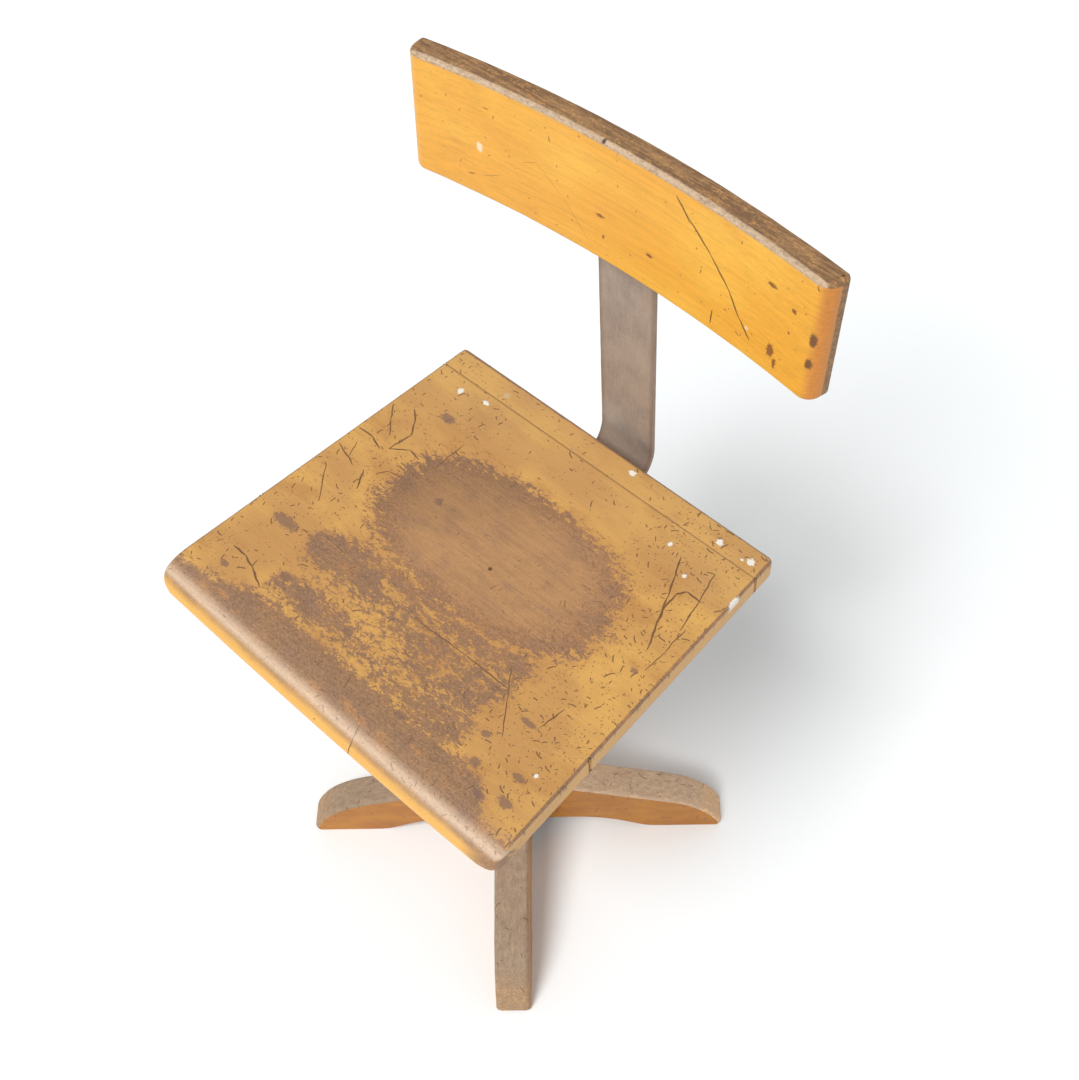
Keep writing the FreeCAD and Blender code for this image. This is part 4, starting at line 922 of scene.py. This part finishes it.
def back_wood():
    """The backrest's amber lacquer, worn to brown wood on its top and ends."""
    g = Graph("back_wood", unlean=True)
    x, h = g.x, g.z
    depth = g.y - BOARD_FRONT_Y + x * x / (2 * BOARD_RADIUS)
    streaks = grained(g, 70, 2.6, seed=11)
    fine = grained(g, 18, 0.7, seed=12)
    flakes = g.noise((9, 4, 4), detail=6, rough=0.7, seed=13)
    specks = g.noise((2.6, 1.7, 1.7), detail=3, rough=0.65, seed=14)
    tone = g.noise((120, 60, 60), detail=2, seed=15)
    lacquer = g.mix(g.step(tone, -0.14, 0.14), (236, 168, 54), (243, 182, 66))
    lacquer = g.mix(g.step(g.noise((44, 15, 15), seed=16), 0.08, 0.24) * 0.5, lacquer, (222, 152, 54))
    lacquer = g.mix(g.step(x, 190, 200) * 0.75, lacquer, (196, 112, 34))
    lacquer = g.shade(lacquer, 1 + streaks * 0.55 + fine * 0.30 + specks * 0.2)
    rim_top = g.step(h, BOARD_HALF_HEIGHT - 4.4, BOARD_HALF_HEIGHT - 3.2)
    end = g.step(x.abs(), 195, 198) * g.step(depth, 11, 15)
    bottom = g.step(h, 3 - BOARD_HALF_HEIGHT, 1 - BOARD_HALF_HEIGHT)
    back_rim = g.step(depth, BOARD_THICKNESS - 3, BOARD_THICKNESS - 1.4) * g.step(h.abs(), 50, 52)
    total = rim_top * 1.3 - 0.5 + flakes * 0.8 + specks * 0.6
    elsewhere = (bottom * 0.85 - 0.6).max(end * 1.2 - 0.6).max(back_rim - 0.5)
    total = total.max(elsewhere + flakes * 0.9 + specks * 0.8)
    worn = g.step(total, -0.08, 0.08)
    wood = g.mix(g.step(streaks + flakes * 0.8, -0.14, 0.14), (128, 94, 62), (166, 126, 84))
    islands = g.step(flakes + specks * 0.9, 0.06, 0.18) * g.step(h, 50, 53) * g.step(depth, 21, 15)
    wood = g.mix(islands * 0.65, wood, (204, 148, 78))
    wood = g.shade(wood, 1 + fine * 0.5 + streaks * 0.3 + specks * 0.9)
    bevel = g.step(depth, 4.2, 2.6) * g.step(h, BOARD_HALF_HEIGHT - 4.6, BOARD_HALF_HEIGHT - 3.4)
    bevel = bevel * (0.7 + specks * 1.8 + flakes * 1.2).clip()
    wood = g.mix(bevel, wood, (210, 184, 154))
    colour = g.mix(worn, lacquer, wood)
    flat = g.combine(x, h, 0)
    shaken = g.shaken(flat, 14, 2, 17)
    deep = [(1.15, [(59, 44.5), (72, 32.5), (96, 13.5), (115, -5.5), (128, -23.5), (140, -36.5)]),
            (0.7, [(66, 38.5), (74, 28.5)]), (0.9, [(102, -33.5), (101.5, -46.5)]),
            (0.6, [(-138, -34.5), (-144, -36)])]
    faint = [(0.4, [(-76, 4.5), (-48, -15.5), (-20, -45.5)]), (0.35, [(-76, 4.5), (-90, -2.5)]),
             (0.45, [(-129, -32.5), (-112, -24.5)])]
    nick = g.nicks(flat, 17, 0.12, 3.2, 0.55, 2.3).max(g.nicks(flat, 6, 0.06, 1.2, 0.45, 7.7))
    front = g.step(depth, 5, 2)
    marks = g.scratches(deep, shaken).max(nick * 0.75)
    colour = g.mix((g.scratches(faint, shaken) * 0.5).max(marks) * 0.9 * front, colour, (104, 60, 26))
    gouges = [(154, 24.5, 4, 1.8), (38, -22.5, 3, 1.7), (-12, -12.5, 4, 1.3), (-8, -30.5, 1.2, 1.2),
              (160, -31.5, 3.2, 6), (165, -40.5, 1.6, 4.5), (174, -4.5, 1, 1), (176, 16.5, 2.4, 2)]
    gouge = g.spots(gouges, soft=0.3, wobble=specks * 2, vertical=h) * front
    colour = g.mix(gouge * 0.85, colour, (124, 68, 32))
    chips = [(195.5, 3.5, 2.6, 6), (195, -19, 2.6, 4.8)]
    corner = g.spots(chips, soft=0.3, wobble=specks * 1.5, vertical=h)
    colour = g.mix(corner * g.step(depth, 12, 9) * 0.9, colour, (96, 58, 30))
    end_lines = g.step(g.noise((2.6, 2.6, 60), detail=3, seed=20), 0.04, 0.12) * end
    colour = g.mix(end_lines * 0.5, colour, (88, 58, 38))
    dark_dot = g.spot(-12, 53.5, 1.6, 1.6, soft=0.3, vertical=h) * front
    colour = g.mix(dark_dot * 0.9, colour, (54, 40, 32))
    paint = g.spot(-132, -6.5, 2.6, 4, soft=0.4, wobble=specks * 2, vertical=h) * front
    paint = paint.max(g.spot(136, -27.5, 1.8, 1.8, soft=0.4, vertical=h) * front * 0.6)
    colour = g.mix(paint * 0.85, colour, (246, 230, 204))
    rough = 0.40 + worn * 0.24 + fine * 0.25 + specks * 0.12
    height = streaks * 0.05 + fine * 0.04 - worn * 0.12 + flakes * worn * 0.35
    height = height - marks * front * 0.3 - gouge * 0.3
    return g.finish(colour, rough.max(0.2).min(0.85), height)


def foot_wood(k):
    """A foot: bare wood on its top and tip, lacquer on its sides; the rear right foot's wood is painted
    lighter, as painted light.
    """
    g = Graph("foot_wood_%d" % k, turn=BASE_TURN + 90 * k)
    u, v, z = g.x, g.y, g.z
    streaks = grained(g, 60, 2.4, seed=21 + k)
    fine = grained(g, 16, 0.7, seed=31 + k)
    flakes = g.noise((9, 5, 5), detail=6, rough=0.68, seed=41 + k)
    specks = g.noise((2.6, 1.8, 1.8), detail=3, rough=0.65, seed=46 + k)
    blots = g.noise((40, 18, 18), detail=3, seed=51 + k)
    slope = (FOOT_ROOT_Z - FOOT_CURVE[1]) / (FOOT_CURVE[0] - HUB_FLAT)
    straight = (FOOT_ROOT_Z - (u - HUB_FLAT) * slope - z) * math.cos(math.atan(slope))
    centre, radius = foot_arc()
    du, dz = u - centre.x, z - centre.y
    curved = radius - g.math("SQRT", du * du + dz * dz)
    tip = g.step(u, FOOT_CURVE[0] - 0.5, FOOT_CURVE[0] + 0.5)
    skin = straight * (1 - tip) + curved * tip
    upper = g.step(skin, 4.6, 2.2).max(g.step(u, 216, 218.5))
    upper = upper * g.step(v.abs(), FOOT_HALF_WIDTH + 0.4, FOOT_HALF_WIDTH - 0.8).max(0.75)
    low = g.step(z, 4, 1) * 0.5
    total = (upper * 1.7).max(low) - 0.75 + flakes * 0.9 + blots * 0.35 + specks * 0.7
    worn = g.step(total, -0.1, 0.1)
    lacquer = g.mix(g.step(blots, -0.15, 0.15), (176, 108, 16), (190, 124, 24))
    lacquer = g.shade(lacquer, 1 + streaks * 0.5 + fine * 0.2)
    wood = g.mix(g.step(flakes + streaks * 0.4, -0.2, 0.2), (152, 127, 104), (172, 146, 118))
    wood = g.mix(g.step(blots, 0.05, 0.2) * 0.5, wood, (158, 126, 98))
    wood = g.mix(g.step(u, 188, 212) * 0.5, wood, (180, 142, 104))
    wood = g.shade(wood, 1 + streaks * 0.4 + fine * 0.4 + specks * 0.7)
    chips = g.step(specks + flakes * 0.6, 0.02, 0.14) * g.step(u, 196, 210)
    wood = g.mix(chips * 0.8, wood, (206, 162, 106))
    # painted light: the rear right foot's wood is made much lighter, standing in for light that the seat's
    # shadow keeps off it
    wood = g.shade(wood, 1.75 if k == 0 else 0.93)
    colour = g.mix(worn, lacquer, wood)
    plan = g.combine(u, v + z * 0.7, 0)
    marks = g.nicks(plan, 9, 0.22, 3, 0.5, 2 + k).max(g.nicks(plan, 20, 0.3, 7.5, 0.5, 6 + k))
    colour = g.mix(marks * 0.6, colour, (104, 74, 50))
    rough = 0.42 + worn * 0.26 + fine * 0.2
    height = streaks * 0.08 + fine * 0.06 - worn * 0.08 + flakes * worn * 0.25 - marks * 0.3
    return g.finish(colour, rough.max(0.25).min(0.9), height)


def plain_wood(name, axis, light, dark, seed):
    """Stained wood for the pieces below the seat; the grain runs along the axis."""
    g = Graph(name)
    streaks = grained(g, 60, 2.2, axis, seed)
    fine = grained(g, 16, 0.7, axis, seed + 1)
    blots = g.noise(38, detail=3, seed=seed + 2)
    flakes = g.noise(11, detail=6, rough=0.7, seed=seed + 3)
    colour = g.mix(g.step(blots + streaks * 0.7, -0.2, 0.2), dark, light)
    colour = g.shade(colour, 1 + streaks * 0.55 + fine * 0.25)
    worn = g.step(flakes + blots * 0.5, 0.17, 0.24)
    colour = g.mix(worn * 0.7, colour, (150, 116, 84))
    plan = g.combine(g.x + g.z * 0.8, g.y + g.z * 0.6, 0)
    marks = g.nicks(plan, 14, 0.16, 5, 0.5, seed)
    colour = g.mix(marks * 0.6, colour, (92, 62, 40))
    rough = 0.45 + worn * 0.2 + fine * 0.2
    height = streaks * 0.08 + fine * 0.06 - worn * 0.06 - marks * 0.25
    return g.finish(colour, rough.max(0.25).min(0.9), height)


def worn_steel(name, base, rust, amount, seed, scale=1, metallic=0.75, rough=0.48):
    """Old steel: brushed upright, and blotched with brown rust."""
    g = Graph(name)
    brushed = g.noise((3 * scale, 3 * scale, 40 * scale), detail=4, rough=0.6, seed=seed)
    blots = g.noise(24 * scale, detail=6, rough=0.7, seed=seed + 1)
    pits = g.noise(2.4 * scale, detail=4, rough=0.65, seed=seed + 2)
    rusty = g.step(blots + pits * 0.55, 0.16 - amount, 0.34 - amount)
    colour = g.shade(linear(*base), 1 + brushed * 0.35 + pits * 0.35)
    deep_rust = tuple(int(c * 0.7) for c in rust)
    colour = g.mix(rusty * 0.85, colour, g.mix(g.step(pits, -0.1, 0.15), rust, deep_rust))
    metal = (1 - rusty) * metallic
    roughness = rough + rusty * 0.3 + pits * 0.3 + brushed * 0.15
    height = pits * 0.09 + rusty * 0.05 + brushed * 0.02
    return g.finish(colour, roughness.max(0.2).min(0.95), height, metallic=metal)


def bar_steel():
    """The bar's old grey steel, browner at its edges, with the seat's shadow and brown reflection painted on
    its bend.
    """
    g = Graph("spring_steel")
    x, y, z = g.x, g.y, g.z
    brushed = g.noise((1.6, 1.6, 22), detail=4, rough=0.6, seed=61)
    blots = g.noise((18, 18, 30), detail=6, rough=0.68, seed=62)
    clouds = g.noise(46, detail=3, rough=0.6, seed=64)
    pits = g.noise(1.7, detail=4, rough=0.7, seed=63)
    edge = g.step(x.abs(), BAR_HALF_WIDTH - 6, BAR_HALF_WIDTH - 0.8)
    rusty = g.step(blots + pits * 0.9 + clouds * 0.6 + g.step(x, 8, 26) * 0.1, 0, 0.26)
    colour = g.mix(g.step(clouds + brushed * 0.3, -0.16, 0.16), (170, 156, 146), (188, 174, 160))
    colour = g.shade(colour, 1 + pits * 0.9 + brushed * 0.2)
    colour = g.mix(rusty * 0.6, colour, (160, 130, 108))
    colour = g.mix(edge * 0.45, colour, (124, 94, 72))
    # painted shadow and painted reflection of the seat, in brown, on the bar's bend
    low = g.step(z, 492, 468)
    colour = g.mix(low * 0.3, colour, (110, 82, 60))
    spots = g.step(pits + blots * 0.4, 0.2, 0.3)
    colour = g.mix(spots * 0.6, colour, (104, 76, 62))
    rough = 0.5 + rusty * 0.2 + pits * 0.3
    height = pits * 0.07 + rusty * 0.05 - spots * 0.06
    return g.finish(colour, rough.max(0.3).min(0.9), height, metallic=(1 - rusty) * 0.35)


# ---------------------------------------------------------------- the object

def soften(node, width, angle=35):
    """Rounds the sharp edges of a CAD node as it is shown."""
    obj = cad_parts[node]
    weld = obj.modifiers.new("weld", "WELD")
    weld.merge_threshold = 0.00001
    flat = obj.modifiers.new("flat", "DECIMATE")
    flat.decimate_type = "DISSOLVE"
    flat.angle_limit = math.radians(1)
    bevel = obj.modifiers.new("bevel", "BEVEL")
    bevel.limit_method = "ANGLE"
    bevel.angle_limit = math.radians(angle)
    bevel.width = width * MM
    bevel.segments = 2
    bevel.harden_normals = True
    obj.data.polygons.foreach_set("use_smooth", [True] * len(obj.data.polygons))
    return obj


def dress(nodes, material, width):
    """Gives carried-over CAD nodes a material and, where there is a width, soft edges."""
    for node in nodes:
        obj = soften(node, width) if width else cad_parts[node]
        obj.data.materials.clear()
        obj.data.materials.append(material)


def object_pieces():
    seat_boards(seat_wood())
    backrest_board(back_wood())
    backrest_bar(bar_steel())
    feet(foot_wood)
    column(plain_wood("column_wood", "z", (206, 140, 66), (176, 110, 48), 71))
    spindle(worn_steel("thread_steel", (150, 146, 140), (118, 84, 60), -0.02, 76, rough=0.36))
    under = plain_wood("underside_wood", "y", (196, 150, 98), (168, 122, 76), 81)
    dress(["seat_block", "batten_left", "batten_right"], under, 1)
    iron = worn_steel("cast_iron", (74, 70, 66), (92, 62, 44), -0.03, 86, metallic=0.5, rough=0.55)
    dress(["hand_wheel", "seat_hub", "clamp_knob"], iron, 0.6)
    dress(["wheel_nut"], worn_steel("bronze", (176, 132, 74), (110, 84, 52), -0.05, 91, rough=0.4), 0.4)
    plain = worn_steel("plain_steel", (132, 128, 122), (124, 86, 62), 0, 96)
    dress(["tie_plate", "column_ferrule", "guide_flange", "guide_key", "wheel_washer", "stop_collar",
           "collar_pin", "swivel_washer", "retaining_washer", "retaining_screw", "bar_guide", "clamp_screw"],
          plain, 0.4)
    screws = worn_steel("screw_steel", (146, 140, 130), (120, 82, 58), 0.02, 101, scale=0.35, rough=0.42)
    dress(["tie_plate_screws", "guide_flange_screws", "seat_hub_screws", "seat_block_screws", "batten_screws",
           "bar_guide_screws", "backrest_screws"], screws, 0)


# ---------------------------------------------------------------- floor, light, camera

def floor():
    mesh = bpy.data.meshes.new("floor")
    reach = 12
    corners = [(-reach, -reach, 0), (reach, -reach, 0), (reach, reach, 0), (-reach, reach, 0)]
    mesh.from_pydata(corners, [], [(0, 1, 2, 3)])
    obj = bpy.data.objects.new("floor", mesh)
    bpy.context.scene.collection.objects.link(obj)
    g = Graph("floor")
    cloud = g.noise(420, detail=2, seed=111)
    colour = g.shade(linear(251, 254, 255), 1.03 + cloud * 0.02)
    mesh.materials.append(g.finish(colour, 0.9, cloud * 0.01, specular=0.2))


def key_light(direction, spread, strength):
    """A wide, distant lamp; spread is the angle that it fills, in degrees."""
    data = bpy.data.lights.new("key", "SUN")
    data.angle = math.radians(spread)
    data.energy = strength
    light = bpy.data.objects.new("key", data)
    bpy.context.scene.collection.objects.link(light)
    away = Vector(direction).normalized()
    light.location = away * 3
    light.rotation_mode = "QUATERNION"
    light.rotation_quaternion = (-away).to_track_quat("-Z", "Y")


def studio():
    world = bpy.data.worlds.new("studio")
    world.use_nodes = True
    world.node_tree.nodes["Background"].inputs[0].default_value = (1, 1, 1, 1)
    world.node_tree.nodes["Background"].inputs[1].default_value = 0.52
    bpy.context.scene.world = world
    key_light((0.05, -0.70, 1), 27, 2.3)
    bpy.context.scene.view_settings.view_transform = "Standard"


def camera():
    yaw, pitch, roll = math.radians(-47.2986), math.radians(-53.628), math.radians(-4.704)
    forward = Vector((math.sin(yaw) * math.cos(pitch), math.cos(yaw) * math.cos(pitch), math.sin(pitch)))
    level = Vector((math.cos(yaw), -math.sin(yaw), 0))
    upright = level.cross(forward)
    right = level * math.cos(roll) + upright * math.sin(roll)
    up = upright * math.cos(roll) - level * math.sin(roll)
    data = bpy.data.cameras.new("camera")
    data.sensor_fit = "HORIZONTAL"
    data.sensor_width = 36
    data.lens = 50.54
    data.clip_start = 0.05
    data.clip_end = 60
    cam = bpy.data.objects.new("camera", data)
    bpy.context.scene.collection.objects.link(cam)
    turn = Matrix((right, up, -forward)).transposed().to_4x4()
    cam.matrix_world = Matrix.Translation((0.5799, -0.4695, 1.5087)) @ turn
    bpy.context.scene.camera = cam


object_pieces()
floor()
studio()
camera()
